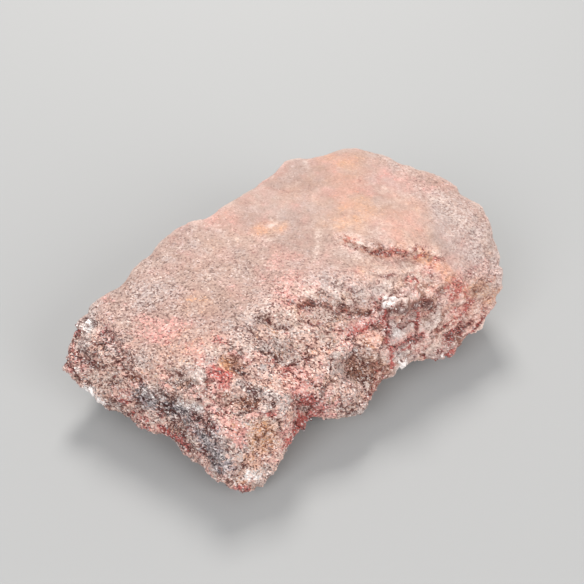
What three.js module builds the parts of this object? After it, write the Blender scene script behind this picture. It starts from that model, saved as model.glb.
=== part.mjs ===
// Cinnabar ore, a broken hand specimen of quartz-rich rock: one solid stone, millimetres, +Z up.
//
// The stone is described the way a fracture surface is read in the hand: a girdle of corners round
// its widest line, flat breaks given by dip and heading, then ledges, hollows, gashes and lumps that
// sit on those breaks, and last the fine chipping of the broken faces. All of them add up in one
// field, negative inside the stone, and a sphere of rays finds where that field is zero.

import * as THREE from 'three';
import { ImprovedNoise } from 'three/addons/math/ImprovedNoise.js';
import { mergeVertices } from 'three/addons/utils/BufferGeometryUtils.js';

// Driving dimensions of the whole stone.
const LENGTH = 94.7;
const WIDTH = 54.8;
const HEIGHT = 29;

// How finely the skin is faceted, where the rays start and end, and the height under which a point
// of the skin counts as touching the surface that the stone rests on.
const SPHERE_DETAIL = 19;
const RAY_START = 0.75 * LENGTH;
const RAY_STEP = 0.5;
const BISECTIONS = 14;
const RAY_CENTRE = new THREE.Vector3(0, 0, 0.48 * HEIGHT);
const SPHERE_SHAPE = new THREE.Vector3(LENGTH / 2, WIDTH / 2, 0.85 * HEIGHT);
const TOUCHING = 0.01;

// Rounding where two breaks meet, and how far one side of the girdle reaches into the next.
const EDGE_ROUNDING = 1.3;
const SIDE_BLEND = 4;

// The underside is an uneven break: its height over the surface, how deep its unevenness is and how
// wide, and how far up the walls that unevenness fades out.
const UNDERSIDE = { height: 0.15, relief: 1.1, size: 9, fade: 4 };

const radians = THREE.MathUtils.degToRad;
const clamp = THREE.MathUtils.clamp;
const lerp = THREE.MathUtils.lerp;
const UP = new THREE.Vector3(0, 0, 1);

// The girdle: corners [x, y, z] counter-clockwise from the right end. On each side the wall leans
// inwards above the girdle by `over` degrees from the vertical, and below it by `under` degrees.
const GIRDLE = [
  {
    side: 'right end',
    over: 24,
    under: 16,
    corners: [
      [39, -25.4, 14],
      [40.8, -24, 18],
      [42.6, -22.4, 20],
      [47, -14.4, 22],
      [48.9, -8.8, 23.5],
      [47.9, -4, 24.5],
      [47.3, 0.8, 25],
      [45, 6, 26],
      [39.4, 11.6, 27],
    ],
  },
  {
    side: 'far side',
    over: 30,
    under: 9,
    corners: [
      [38.2, 16, 27.5],
      [37, 21, 27.6],
      [34.6, 23.6, 28],
      [28.4, 25, 28],
      [23, 24.5, 28],
      [18.7, 26.8, 27.5],
      [12, 25.8, 27],
      [4.4, 25.8, 26],
      [0.6, 24.3, 25.5],
      [-3, 24.2, 25],
      [-7.5, 23.6, 25],
      [-12.4, 26.4, 24.5],
      [-14.8, 26.6, 24],
      [-20, 25.2, 23],
      [-24.4, 24, 22],
      [-30, 21.6, 21],
      [-34.5, 23.4, 19],
      [-38.4, 23.4, 17],
    ],
  },
  {
    side: 'left end',
    over: 22,
    under: 47,
    corners: [
      [-40.8, 21.2, 16],
      [-44.2, 20.8, 14],
      [-48, 19.6, 13.8],
      [-48.7, 16.9, 13.2],
      [-45.2, 14, 9.8],
      [-44, 11.6, 7.6],
      [-43.9, 8.6, 6],
      [-41.8, 5.6, 6],
      [-38.6, -2, 6],
      [-35.8, -6.1, 6],
      [-35.8, -11.4, 6],
      [-35.4, -16, 6],
      [-34.6, -23.6, 5],
    ],
  },
  {
    side: 'near side',
    over: 10,
    under: 48,
    corners: [
      [-33, -28.5, 4.6],
      [-29.8, -29, 4.6],
      [-26, -28.4, 5.6],
      [-21.2, -26.1, 6],
      [-17.4, -23.5, 6],
      [-15.3, -22.1, 7],
      [-12.8, -23.1, 7],
      [-9.3, -23.6, 7],
      [-7, -25, 6],
      [-3.7, -25.2, 6],
      [1.2, -24.8, 6.2],
      [5.7, -23.2, 7.2],
      [11.7, -23.6, 7],
      [16, -23.8, 7],
      [19.6, -27.1, 7],
      [24.6, -26.8, 8],
      [29.2, -25.7, 9],
      [35, -25.3, 11],
    ],
  },
];

// Flat breaks that cut the stone down from above. `dip` is the angle from the horizontal and
// `heading` the way the break faces, both in degrees, counter-clockwise from +X.
const BREAKS = [
  { name: 'plateau, right part', dip: 3, heading: 200, through: [12, 8, 27.2] },
  { name: 'plateau, left part', dip: 12, heading: 186, through: [-26, 10, 22.6] },
  { name: 'right shoulder', dip: 14, heading: 300, through: [40, -4, 25.2] },
  { name: 'near left slope', dip: 26, heading: 252, through: [-27, -10, 20.6] },
  { name: 'middle slope', dip: 33, heading: 262, through: [-6, -10, 23.6] },
  { name: 'near right slope', dip: 31, heading: 276, through: [12, -13, 23.2] },
  { name: 'near right cliff', dip: 62, heading: 268, through: [14, -21.5, 15] },
  { name: 'right corner', dip: 48, heading: 288, through: [37, -23.5, 19.5] },
  { name: 'near corner', dip: 44, heading: 236, through: [-31.5, -20.5, 14] },
  { name: 'left tip', dip: 37, heading: 168, through: [-42, 17, 16.2] },
];

// Steps in the surface. The line is walked with the low side on the right: the ground drops by
// `drop` over LEDGE_FACE there and comes back up over `run`.
const LEDGE_FACE = 2;
const LEDGES_ABOVE = 0.25 * HEIGHT;
const LEDGES = [
  {
    name: 'red ledge',
    line: [[12, 3], [13.6, -1.7], [16, -5.4], [20.6, -8], [25, -12.4], [27, -17], [28.5, -21]],
    drop: 1.7,
    run: 5,
  },
  { name: 'middle ledge', line: [[-6, -3], [-1.5, -7], [2, -11.4], [6, -15.6]], drop: 1.3, run: 4 },
  { name: 'slit ledge', line: [[-14, -5.6], [-12, -7.4], [-9.5, -11]], drop: 1.1, run: 2.6 },
  { name: 'white ledge', line: [[7, -14.6], [12, -15.6], [17, -18], [23, -20.6]], drop: 1.7, run: 3.4 },
  { name: 'end ledge', line: [[-39, 1], [-35.2, -7], [-32.6, -13], [-30.5, -20]], drop: 0.9, run: 3 },
];

// Rounded bites (`depth` above zero) and lumps (below zero) round a point of the skin.
const BITES = [
  { name: 'rusty hollow', at: [-23.4, -8.6, 20.4], reach: 4.6, depth: 1.5 },
  { name: 'brown recess', at: [-23.4, -14.4, 18], reach: 5, depth: 2 },
  { name: 'near hollow', at: [-12.6, -13.4, 19.5], reach: 3.6, depth: 1.4 },
  { name: 'shaded hollow', at: [1.2, -20.4, 13], reach: 6, depth: 1.5 },
  { name: 'hollow under the white ledge', at: [17.6, -18.8, 19], reach: 4, depth: 1.3 },
  { name: 'gully', at: [-13.6, -22.4, 9.5], reach: 4.2, depth: 2 },
  { name: 'left pit', at: [-37.2, 12.8, 18.4], reach: 3.4, depth: 1.1 },
  { name: 'right dimple', at: [31, -24, 13], reach: 4, depth: 0.8 },
  { name: 'far scoop', at: [8, 27, 15], reach: 12, depth: 2 },
  { name: 'far left scoop', at: [-24, 25, 10], reach: 12, depth: 1.6 },
  { name: 'right scoop', at: [44, 2, 11], reach: 9, depth: 2.4 },
  { name: 'near spur', at: [-3, -24, 9], reach: 6.5, depth: -1.1 },
  { name: 'near lump', at: [-20, -19.8, 15], reach: 6, depth: -1 },
  { name: 'plateau swell', at: [22, 12, 28], reach: 15, depth: -0.8 },
  { name: 'plateau dip', at: [-4, 12, 25.4], reach: 13, depth: 0.5 },
];

// Long narrow cuts from one point of the skin to another.
const GASHES = [
  { name: 'end face groove', from: [-36.4, -9, 13], to: [-33, -20, 9], width: 1.8, depth: 1 },
  { name: 'end face upper groove', from: [-33, -12, 15.4], to: [-30.6, -22, 12], width: 1.5, depth: 0.8 },
  { name: 'red right groove', from: [20, -24, 12], to: [33, -24.5, 15], width: 1.8, depth: 1.1 },
  { name: 'low right groove', from: [17, -24, 9], to: [30, -26, 11], width: 1.6, depth: 1 },
  { name: 'cliff groove', from: [11.6, -19, 18], to: [13, -24, 9], width: 2, depth: 0.6 },
];

// Chips: shallow tilted facets left by the breakage, from coarse to fine, drawn out along the grain
// of the rock. CHIP_MEAN is the average of a chip's relief for a size and a tilt of one.
const CHIPS = [
  { size: 12, tilt: 0.11, seed: 3 },
  { size: 6, tilt: 0.26, seed: 11 },
  { size: 3.4, tilt: 0.24, seed: 29 },
];
const CHIP_MEAN = -0.456;
const GRAIN_HEADING = -50;
const GRAIN_STRETCH = 1.7;

// The plateau is a smooth old joint: how strongly it is chipped, how far under it full chipping
// begins, and how wide the chipped rim along the walls is.
const PLATEAU = { chipping: 0.16, depth: 2, rim: 3 };

// Broad swelling of every face, and the grit of the broken ones.
const SWELL = { size: 19, height: 0.7 };
const GRIT = { size: 3.2, height: 0.32 };

const noise = new ImprovedNoise();

// A repeatable number from 0 to 1 for a cell of space.
function cellValue(i, j, k, channel) {
  const mixed = Math.sin(i * 127.1 + j * 311.7 + k * 74.7 + channel * 53.3) * 43758.5453;
  return mixed - Math.floor(mixed);
}

// The larger of two fields, rounded where they cross.
function roundedMax(a, b, radius) {
  const blend = clamp(0.5 + (0.5 * (a - b)) / radius, 0, 1);
  return lerp(b, a, blend) + radius * blend * (1 - blend);
}

// The girdle as a ring of edges, each knowing its side's lean.
function girdleEdges() {
  const corners = GIRDLE.flatMap((side) =>
    side.corners.map(([x, y, z]) => ({ x, y, z, over: side.over, under: side.under })),
  );
  return corners.map((start, i) => ({ start, end: corners[(i + 1) % corners.length] }));
}

const EDGES = girdleEdges();

// The girdle as seen from a point in plan: the signed distance to it (negative inside), and its
// height and leans, averaged over the edges round about so that one side turns gently into the next.
function girdleFrom(x, y) {
  let nearest = Infinity;
  let inside = false;
  let share = 0;
  let z = 0;
  let over = 0;
  let under = 0;
  for (const { start, end } of EDGES) {
    const ex = end.x - start.x;
    const ey = end.y - start.y;
    const along = clamp(((x - start.x) * ex + (y - start.y) * ey) / (ex * ex + ey * ey), 0, 1);
    const squared = (x - start.x - along * ex) ** 2 + (y - start.y - along * ey) ** 2;
    const weight = 1 / (squared + SIDE_BLEND ** 2) ** 2;
    share += weight;
    z += weight * lerp(start.z, end.z, along);
    over += weight * start.over;
    under += weight * start.under;
    nearest = Math.min(nearest, squared);
    if (start.y > y !== end.y > y && x < start.x + ((y - start.y) / ey) * ex) {
      inside = !inside;
    }
  }
  const distance = (inside ? -1 : 1) * Math.sqrt(nearest);
  return { distance, z: z / share, over: over / share, under: under / share };
}

// Field of the walls: leaning planes over and under the girdle.
function wallField(p) {
  const { distance, z, over, under } = girdleFrom(p.x, p.y);
  const above = distance * Math.cos(radians(over)) + (p.z - z) * Math.sin(radians(over));
  const below = distance * Math.cos(radians(under)) + (z - p.z) * Math.sin(radians(under));
  return Math.max(above, below);
}

// Outward direction of a break.
function breakNormal({ dip, heading }) {
  const outwards = Math.sin(radians(dip));
  return new THREE.Vector3(
    outwards * Math.cos(radians(heading)),
    outwards * Math.sin(radians(heading)),
    Math.cos(radians(dip)),
  );
}

const BREAK_PLANES = BREAKS.map((item) =>
  new THREE.Plane().setFromNormalAndCoplanarPoint(
    breakNormal(item),
    new THREE.Vector3(...item.through),
  ),
);

// Field of the breaks: the stone lies under every plane.
function breakField(p) {
  const fields = BREAK_PLANES.map((plane) => plane.distanceToPoint(p));
  return fields.reduce((field, next) => roundedMax(field, next, EDGE_ROUNDING));
}

// What a ledge takes off at a point in plan: nothing on its high side, a sharp drop on the low one.
function ledgeCut({ line, drop, run }, x, y) {
  let nearest = Infinity;
  let side = 0;
  for (let i = 0; i + 1 < line.length; i++) {
    const [ax, ay] = line[i];
    const ex = line[i + 1][0] - ax;
    const ey = line[i + 1][1] - ay;
    const along = clamp(((x - ax) * ex + (y - ay) * ey) / (ex * ex + ey * ey), 0, 1);
    const away = Math.hypot(x - ax - along * ex, y - ay - along * ey);
    if (away < nearest) {
      nearest = away;
      side = ey * (x - ax) - ex * (y - ay);
    }
  }
  return side > 0 ? drop * Math.exp(-nearest / run) * clamp(nearest / LEDGE_FACE, 0, 1) : 0;
}

// What a rounded bite takes off.
function biteCut({ at, reach, depth }, p) {
  const share = p.distanceTo(new THREE.Vector3(...at)) / reach;
  return share < 1 ? depth * (1 - share * share) ** 2 : 0;
}

// What a gash takes off.
function gashCut({ from, to, width, depth }, p) {
  const line = new THREE.Line3(new THREE.Vector3(...from), new THREE.Vector3(...to));
  const foot = line.closestPointToPoint(p, true, new THREE.Vector3());
  const share = foot.distanceTo(p) / width;
  return share < 1 ? depth * (1 - share) : 0;
}

// A point seen along the grain of the rock, where chips are as long as they are wide.
function alongGrain(p) {
  const turned = p.clone().applyAxisAngle(UP, -radians(GRAIN_HEADING));
  turned.x /= GRAIN_STRETCH;
  return turned;
}

// Tilted facets: the lowest of the tilted bowls that the cells round a point carry.
function chipRelief({ size, tilt, seed }, p) {
  const ci = Math.floor(p.x / size);
  const cj = Math.floor(p.y / size);
  const ck = Math.floor(p.z / size);
  let lowest = Infinity;
  for (let i = ci - 1; i <= ci + 1; i++) {
    for (let j = cj - 1; j <= cj + 1; j++) {
      for (let k = ck - 1; k <= ck + 1; k++) {
        const dx = p.x - (i + cellValue(i, j, k, seed)) * size;
        const dy = p.y - (j + cellValue(i, j, k, seed + 1)) * size;
        const dz = p.z - (k + cellValue(i, j, k, seed + 2)) * size;
        const lean =
          dx * (2 * cellValue(i, j, k, seed + 3) - 1) +
          dy * (2 * cellValue(i, j, k, seed + 4) - 1) +
          dz * (2 * cellValue(i, j, k, seed + 5) - 1);
        const bowl = (dx * dx + dy * dy + dz * dz) / (2 * size);
        lowest = Math.min(lowest, bowl + lean);
      }
    }
  }
  return tilt * (lowest - CHIP_MEAN * size);
}

// How strongly a point is chipped: little on the two planes of the plateau, fully elsewhere.
function chipping(p, walls) {
  const [right, left] = BREAK_PLANES;
  const depth = Math.max(-Math.max(right.distanceToPoint(p), left.distanceToPoint(p)), 0);
  const onPlateau = clamp(1 - depth / PLATEAU.depth, 0, 1) * clamp(-walls / PLATEAU.rim, 0, 1);
  return lerp(1, PLATEAU.chipping, onPlateau);
}

// Smooth noise at a point, for bumps of one size.
function smoothNoise(p, size) {
  return noise.noise(p.x / size, p.y / size, p.z / size);
}

// The whole field: negative inside the stone.
function stoneField(p) {
  const walls = wallField(p);
  let field = roundedMax(breakField(p), walls, EDGE_ROUNDING);
  field = roundedMax(field, UNDERSIDE.height - p.z, EDGE_ROUNDING);
  for (const ledge of LEDGES) {
    field += p.z > LEDGES_ABOVE ? ledgeCut(ledge, p.x, p.y) : 0;
  }
  for (const bite of BITES) {
    field += biteCut(bite, p);
  }
  for (const gash of GASHES) {
    field += gashCut(gash, p);
  }
  const strength = chipping(p, walls);
  const grainPoint = alongGrain(p);
  for (const chips of CHIPS) {
    field -= strength * chipRelief(chips, grainPoint);
  }
  field += SWELL.height * smoothNoise(p, SWELL.size);
  field += strength * GRIT.height * smoothNoise(p, GRIT.size);
  field += UNDERSIDE.relief * clamp(1 - p.z / UNDERSIDE.fade, 0, 1) * smoothNoise(p, UNDERSIDE.size);
  return Math.max(field, -p.z);
}

// Where the skin lies along a ray from the centre: stepping inwards, then halving.
function skinPoint(direction) {
  const at = (distance) => RAY_CENTRE.clone().addScaledVector(direction, distance);
  let outer = RAY_START;
  while (outer > RAY_STEP && stoneField(at(outer)) > 0) {
    outer -= RAY_STEP;
  }
  let low = outer;
  let high = outer + RAY_STEP;
  for (let i = 0; i < BISECTIONS; i++) {
    const middle = (low + high) / 2;
    if (stoneField(at(middle)) > 0) {
      high = middle;
    } else {
      low = middle;
    }
  }
  return at(low);
}

// The skin of the stone, with its lowest points set flat on z = 0, at its full size: the box of the
// skin is brought to the driving dimensions and stands over the origin.
function stoneGeometry() {
  const sphere = new THREE.IcosahedronGeometry(1, SPHERE_DETAIL);
  sphere.deleteAttribute('normal');
  sphere.deleteAttribute('uv');
  const geometry = mergeVertices(sphere, 1e-5);
  const position = geometry.getAttribute('position');
  const direction = new THREE.Vector3();
  for (let i = 0; i < position.count; i++) {
    direction.fromBufferAttribute(position, i).multiply(SPHERE_SHAPE).normalize();
    const skin = skinPoint(direction);
    position.setXYZ(i, skin.x, skin.y, skin.z < TOUCHING ? 0 : skin.z);
  }
  geometry.computeBoundingBox();
  const middle = geometry.boundingBox.getCenter(new THREE.Vector3());
  const extent = geometry.boundingBox.getSize(new THREE.Vector3());
  geometry.translate(-middle.x, -middle.y, 0);
  geometry.scale(LENGTH / extent.x, WIDTH / extent.y, HEIGHT / extent.z);
  geometry.computeVertexNormals();
  return geometry;
}

const rock = new THREE.MeshStandardMaterial({ color: 0xc79c8c, roughness: 0.85, metalness: 0 });
const stone = new THREE.Mesh(stoneGeometry(), rock);
stone.name = 'cinnabar_rock';

const specimen = new THREE.Group();
specimen.add(stone);

export default specimen;
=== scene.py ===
"""Looks of a hand specimen of cinnabar ore: a broken stone of sugary quartz, stained red, orange and grey.

The stone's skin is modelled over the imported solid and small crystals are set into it. Lengths in the
tables are millimetres in the frame's axes, and Blender gets metres. The last number that cloud, sway,
blocks and hashed are given is a seed, which only picks another random pattern.
"""

import logging
import math
from collections.abc import Sequence
from dataclasses import dataclass, field
from enum import Enum

import bmesh
import bpy
import numpy as np
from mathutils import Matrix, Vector


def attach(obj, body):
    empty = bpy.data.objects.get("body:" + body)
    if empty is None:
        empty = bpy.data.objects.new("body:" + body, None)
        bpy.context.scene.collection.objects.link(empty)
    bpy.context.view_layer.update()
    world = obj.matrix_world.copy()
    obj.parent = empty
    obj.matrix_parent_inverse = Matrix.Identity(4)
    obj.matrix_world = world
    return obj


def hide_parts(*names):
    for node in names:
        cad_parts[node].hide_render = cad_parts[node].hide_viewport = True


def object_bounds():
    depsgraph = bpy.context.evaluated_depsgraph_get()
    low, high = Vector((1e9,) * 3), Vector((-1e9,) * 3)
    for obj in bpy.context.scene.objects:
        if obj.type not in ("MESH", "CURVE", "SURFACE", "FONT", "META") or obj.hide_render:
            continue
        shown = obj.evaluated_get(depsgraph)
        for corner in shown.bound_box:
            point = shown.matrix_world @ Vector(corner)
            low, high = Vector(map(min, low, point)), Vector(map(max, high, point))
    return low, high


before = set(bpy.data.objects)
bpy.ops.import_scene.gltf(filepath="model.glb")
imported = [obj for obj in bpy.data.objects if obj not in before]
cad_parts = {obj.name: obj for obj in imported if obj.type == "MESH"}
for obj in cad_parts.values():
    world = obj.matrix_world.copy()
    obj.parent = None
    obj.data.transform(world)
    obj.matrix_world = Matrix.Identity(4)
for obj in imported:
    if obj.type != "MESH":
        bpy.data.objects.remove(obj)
CAD_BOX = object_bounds()

LOG = logging.getLogger("cinnabar")
MM = 0.001
NODE = "cinnabar_rock"
BODY = "root"

# How the rock runs: the heading of its grain and how far it is drawn out that way, the way along its beds,
# and x at the brow of its small end.
GRAIN_HEADING = math.radians(-50)
GRAIN_STRETCH = 2.0
BED_WAY = (0.96, 0.06, 0.27)
SMALL_END = -36.0

# Large odd numbers that scatter whole numbers over all of 32 bits.
AXIS_FACTORS = (73856093, 19349663, 83492791)
SEED_FACTOR = 40503
MIX_FACTORS = (2246822519, 3266489917)

# How far a cloud's octaves lie apart, and the gain that makes it fill the range from -1 to 1.
OCTAVE_SHIFT = 17.3
CLOUD_GAIN = 1.6

Point = tuple[float, float, float]
Colour = tuple[float, float, float]


class Mineral(Enum):
    """What stains the stone or stands in it as crystals."""

    CINNABAR = "cinnabar"
    ROSE = "rose"
    LIMONITE = "limonite"
    MILKY = "milky"
    QUARTZ = "quartz"
    METACINNABAR = "metacinnabar"
    UMBER = "umber"
    ASH = "ash"
    MAROON = "maroon"


@dataclass(frozen=True)
class Finish:
    """How one mineral looks.

    colour and deep are the light and the dark of its grains, roughness and metallic are the shader's.
    """

    colour: Colour
    deep: Colour
    roughness: float
    metallic: float = 0.0


FINISHES = {
    Mineral.ROSE: Finish((0.74, 0.37, 0.32), (0.16, 0.022, 0.024), 0.72),
    Mineral.ASH: Finish((0.50, 0.405, 0.37), (0.08, 0.026, 0.020), 0.55),
    Mineral.MILKY: Finish((0.73, 0.59, 0.51), (0.16, 0.06, 0.045), 0.50),
    Mineral.LIMONITE: Finish((0.70, 0.37, 0.20), (0.20, 0.07, 0.03), 0.78),
    Mineral.UMBER: Finish((0.29, 0.13, 0.08), (0.05, 0.012, 0.008), 0.82),
    Mineral.METACINNABAR: Finish((0.50, 0.43, 0.44), (0.012, 0.008, 0.010), 0.40, 0.1),
    Mineral.CINNABAR: Finish((0.48, 0.11, 0.09), (0.05, 0.006, 0.006), 0.42),
    # Maroon is dark red-brown dust; where it lines cracks, ledges and recesses it also stands for painted
    # shade.
    Mineral.MAROON: Finish((0.15, 0.042, 0.032), (0.02, 0.006, 0.005), 0.70),
    Mineral.QUARTZ: Finish((0.96, 0.92, 0.89), (0.55, 0.46, 0.43), 0.28),
}
WEATHERED = Finish((0.40, 0.27, 0.222), (0.11, 0.06, 0.048), 0.80)
FRESH = Finish((0.80, 0.53, 0.43), (0.09, 0.018, 0.013), 0.60)
# Painted shade, partly dirt: hollows and cracks are darkened towards this colour.
HOLLOW_DIRT_AND_SHADE_COLOUR = (0.085, 0.018, 0.014)
# Painted light, partly wear: the crests are lightened towards this colour.
CREST_COLOUR = (0.78, 0.66, 0.60)
# Painted highlight: the glinting grains are lightened towards this colour.
PAINTED_GLINT_COLOUR = (0.92, 0.82, 0.77)


@dataclass(frozen=True)
class Stain:
    """A patch or a vein of one mineral.

    reach is how far it goes to each side of its path, and strength is from 0 to 1.
    """

    mineral: Mineral
    reach: float
    strength: float
    path: tuple[Point, ...]


@dataclass(frozen=True)
class Form:
    """A pit, furrow, knob or ridge.

    reach is how far it goes to each side of its path, and height is below zero for a hollow.
    """

    reach: float
    height: float
    path: tuple[Point, ...]


@dataclass(frozen=True)
class Ledge:
    """A broken edge that stands over the ground on the right of its path, seen from outside.

    drop is the height of the step, fade is how far the step reaches to each side, and lip is how far the
    upper edge hangs over.
    """

    drop: float
    fade: float
    lip: float
    path: tuple[Point, ...]


@dataclass(frozen=True)
class Drift:
    """Soft clouds of one mineral over the whole stone.

    base is their strength everywhere, and rough is what the broken ground adds. size is the clouds' width
    and seed picks them. They start where the cloud reaches low and are full where it reaches high, or lie
    in the gaps between the clouds. stretch draws them out along the grain, and 0 leaves them as they are.
    """

    mineral: Mineral
    base: float
    rough: float
    size: float
    seed: int
    low: float
    high: float
    gaps: bool = False
    stretch: float = 0.0


@dataclass(frozen=True)
class BlockTint:
    """The blocks that one mineral colours: those whose random number lies between low and high."""

    mineral: Mineral
    low: float
    high: float
    strength: float


CRACK_LEDGE = Ledge(1.1, 2.9, 0.45, (
    (12.3, -0.4, 27.0), (14.0, -4.8, 26.8), (16.9, -7.3, 26.2), (21.0, -10.0, 25.3), (25.3, -11.2, 23.5),
    (28.5, -13.8, 21.8)))

# From the crack on top, over the dark shelf and down the cliff, then the slope, the end and the right ridge.
LEDGES = (
    CRACK_LEDGE,
    Ledge(1.7, 4.0, 0.6, ((-4.6, -6.8, 23.8), (-1.0, -9.4, 23.1), (1.5, -12.5, 22.0), (6.7, -14.9, 20.7))),
    Ledge(1.0, 3.5, 0.5, ((-1.1, -6.8, 24.8), (1.7, -8.6, 24.2), (2.9, -10.7, 23.2), (4.3, -13.5, 21.6))),
    Ledge(2.0, 4.5, 1.0, (
        (10.7, -17.2, 19.9), (12.0, -18.0, 19.2), (15.9, -18.5, 18.6), (18.6, -19.3, 18.1),
        (21.8, -21.1, 17.0))),
    Ledge(1.0, 3.0, 0.5, ((2.4, -16.1, 18.9), (7.3, -16.9, 18.4), (10.6, -17.8, 18.8))),
    Ledge(1.2, 3.0, 0.5, ((9.9, -21.8, 13.5), (13.4, -21.7, 13.1), (16.5, -22.1, 12.5), (18.1, -23.1, 11.6))),
    Ledge(0.9, 2.6, 0.5, ((-16.1, -13.6, 18.8), (-14.3, -14.8, 17.7), (-11.9, -15.4, 17.4))),
    Ledge(0.7, 2.4, 0.4, ((-15.8, -10.2, 21.4), (-13.1, -10.2, 20.3), (-10.7, -11.6, 20.0))),
    Ledge(1.3, 3.0, 0.7, (
        (-32.7, -8.9, 19.0), (-31.2, -9.9, 19.6), (-29.6, -10.3, 20.1), (-28.0, -10.1, 19.9))),
    Ledge(1.3, 3.4, 0.7, (
        (19.4, -23.7, 11.0), (23.3, -23.0, 11.2), (26.0, -23.2, 11.5), (29.1, -23.3, 12.7),
        (30.8, -22.5, 14.8))),
)

FORMS = (
    Form(0.7, -1.7, ((-12.8, -5.7, 23.6), (-11.1, -8.1, 22.2), (-9.3, -9.3, 21.4))),
    Form(0.8, -0.9, ((13.5, -19.0, 20.2), (16.4, -19.0, 19.2), (18.6, -19.5, 18.4), (21.5, -20.1, 16.9))),
    Form(2.2, -0.9, ((15.9, -20.1, 17.4), (19.8, -21.7, 16.0))),
    Form(2.6, -0.6, ((-25.8, -9.3, 19.6), (-22.5, -9.7, 19.5))),
    Form(1.0, -0.8, ((-22.6, -10.2, 19.8), (-21.8, -12.2, 19.0))),
    Form(2.8, -1.1, ((-27.8, -13.9, 18.5), (-25.5, -15.8, 17.3), (-22.8, -16.7, 16.8))),
    Form(1.4, -0.7, ((-32.1, -7.1, 19.7), (-30.9, -7.8, 19.8))),
    Form(1.0, -0.7, ((-38.1, 3.0, 15.9), (-37.6, 1.3, 16.1))),
    Form(2.0, -0.5, ((-38.4, 12.9, 18.9), (-38.0, 8.7, 19.4))),
    Form(2.0, -1.6, ((-14.4, -20.7, 13.2), (-13.5, -21.9, 10.6), (-12.6, -22.5, 8.0))),
    Form(3.2, -0.9, ((0.8, -20.9, 12.6), (2.8, -23.5, 10.6))),
    Form(1.6, 0.7, ((11.2, -15.5, 21.6), (13.2, -16.7, 20.8))),
    Form(2.0, 0.6, ((-37.1, -2.7, 14.7), (-34.6, -7.1, 15.4), (-32.4, -11.1, 16.2))),
    Form(1.1, -0.6, ((28.3, -24.2, 10.8), (30.2, -24.8, 10.7))),
    Form(1.0, 0.5, ((20.2, -25.1, 8.7), (22.5, -24.9, 8.9), (24.2, -24.6, 9.4))),
    Form(1.4, -0.5, ((10.5, 22.1, 27.3), (12.2, 19.4, 27.3), (15.8, 16.7, 27.9))),
)

# The courses that more than one stain follows.
CRACK = ((12.3, -0.9, 26.9), (14.0, -5.1, 26.6), (17.0, -7.7, 25.9), (21.2, -10.5, 24.9))
RUST_BAND = (
    (25.8, -12.1, 22.9), (28.5, -15.6, 20.8), (28.3, -18.9, 19.7), (29.1, -20.3, 17.8), (29.9, -22.4, 15.7))
UPPER_RIDGE = ((21.0, -23.3, 11.2), (26.1, -23.2, 11.5), (29.5, -22.6, 14.0))
LOWER_RIDGE = ((20.2, -25.3, 8.4), (24.2, -24.8, 9.2), (27.8, -24.5, 10.4))
CLIFF_LINE = (
    (12.2, -18.6, 20.0), (13.5, -19.3, 20.7), (16.4, -19.1, 19.2), (18.6, -19.6, 18.4), (21.5, -20.1, 16.7))
RED_VEIN = (
    (11.3, -14.4, 22.2), (11.1, -17.2, 19.5), (10.4, -18.6, 16.9), (8.8, -20.6, 15.4), (8.3, -22.1, 13.4),
    (7.7, -23.4, 10.5))
CROSS_VEIN = ((9.9, -22.1, 13.1), (13.4, -22.0, 12.8), (16.5, -22.4, 12.2))
DARK_SHELF = ((-4.4, -7.5, 23.4), (-1.0, -10.0, 22.8), (2.4, -12.9, 21.8), (6.7, -15.5, 20.2))
SLOPE_HOLLOW = ((-11.7, -6.0, 22.5), (-10.7, -7.7, 21.5), (-9.2, -8.3, 20.4))
SLOPE_PIT = ((-21.8, -10.2, 19.2), (-21.6, -11.8, 18.6))
GULLY = ((-12.6, -21.4, 12.2), (-11.2, -22.6, 9.8), (-12.7, -22.7, 7.8), (-14.6, -22.6, 7.4))
GULLY_FOOT = ((-19.6, -24.1, 7.7), (-17.0, -23.0, 8.3), (-15.0, -22.3, 8.2))
UPPER_VEIN = ((-37.6, -2.0, 14.7), (-36.4, -3.7, 14.7))
LOWER_VEIN = ((-34.0, -8.4, 15.9), (-32.1, -11.8, 16.5))
END_RED = ((-32.8, -11.9, 15.1), (-32.2, -15.4, 15.2))
LEFT_CROOK = ((-38.4, 12.8, 19.0), (-37.8, 8.4, 19.5))
LEFT_TIP = ((-44.8, 17.7, 13.5), (-44.5, 14.5, 12.8))

SMOOTH_TOP = (
    Stain(Mineral.LIMONITE, 3.8, 0.36, ((16.2, 1.6, 27.5), (21.0, 3.4, 27.7))),
    Stain(Mineral.LIMONITE, 5.5, 0.14, ((13.8, 6.5, 27.6), (21.8, 12.5, 28.4), (26.8, 18.5, 28.0))),
    Stain(Mineral.LIMONITE, 2.4, 0.2, ((26.9, 22.5, 27.8), (26.8, 18.2, 28.9))),
    Stain(Mineral.LIMONITE, 1.8, 0.5, ((0.4, 13.0, 26.3), (3.8, 10.3, 26.4))),
    Stain(Mineral.LIMONITE, 2.6, 0.3, ((-21.0, 6.3, 23.6), (-19.8, 4.1, 23.8))),
    Stain(Mineral.ROSE, 4.4, 0.3, ((32.8, 8.5, 28.0), (37.4, 3.1, 27.4))),
    Stain(Mineral.ROSE, 3.6, 0.4, ((21.8, -3.5, 27.0), (27.8, -5.9, 26.0))),
    Stain(Mineral.ROSE, 8.5, 0.14, ((-34.2, 10.5, 19.8), (-28.2, 1.5, 21.6))),
    Stain(Mineral.ASH, 6.5, 0.65, ((36.2, -5.5, 24.0), (38.4, -13.6, 21.6), (38.7, -18.5, 18.6))),
    Stain(Mineral.ASH, 4.5, 0.5, ((-27.2, 14.1, 22.4), (-24.6, 11.5, 22.8))),
    Stain(Mineral.MILKY, 0.8, 0.5, ((10.6, 4.4, 27.1), (7.1, 1.3, 26.4), (3.0, -2.0, 26.5))),
    Stain(Mineral.MAROON, 0.5, 0.35, (
        (10.5, 21.6, 27.3), (11.9, 19.3, 27.3), (13.8, 17.4, 27.6), (16.1, 16.4, 28.0))),
    Stain(Mineral.QUARTZ, 0.6, 0.5, ((2.4, 12.1, 26.5), (3.0, 11.7, 26.5))),
)

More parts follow.
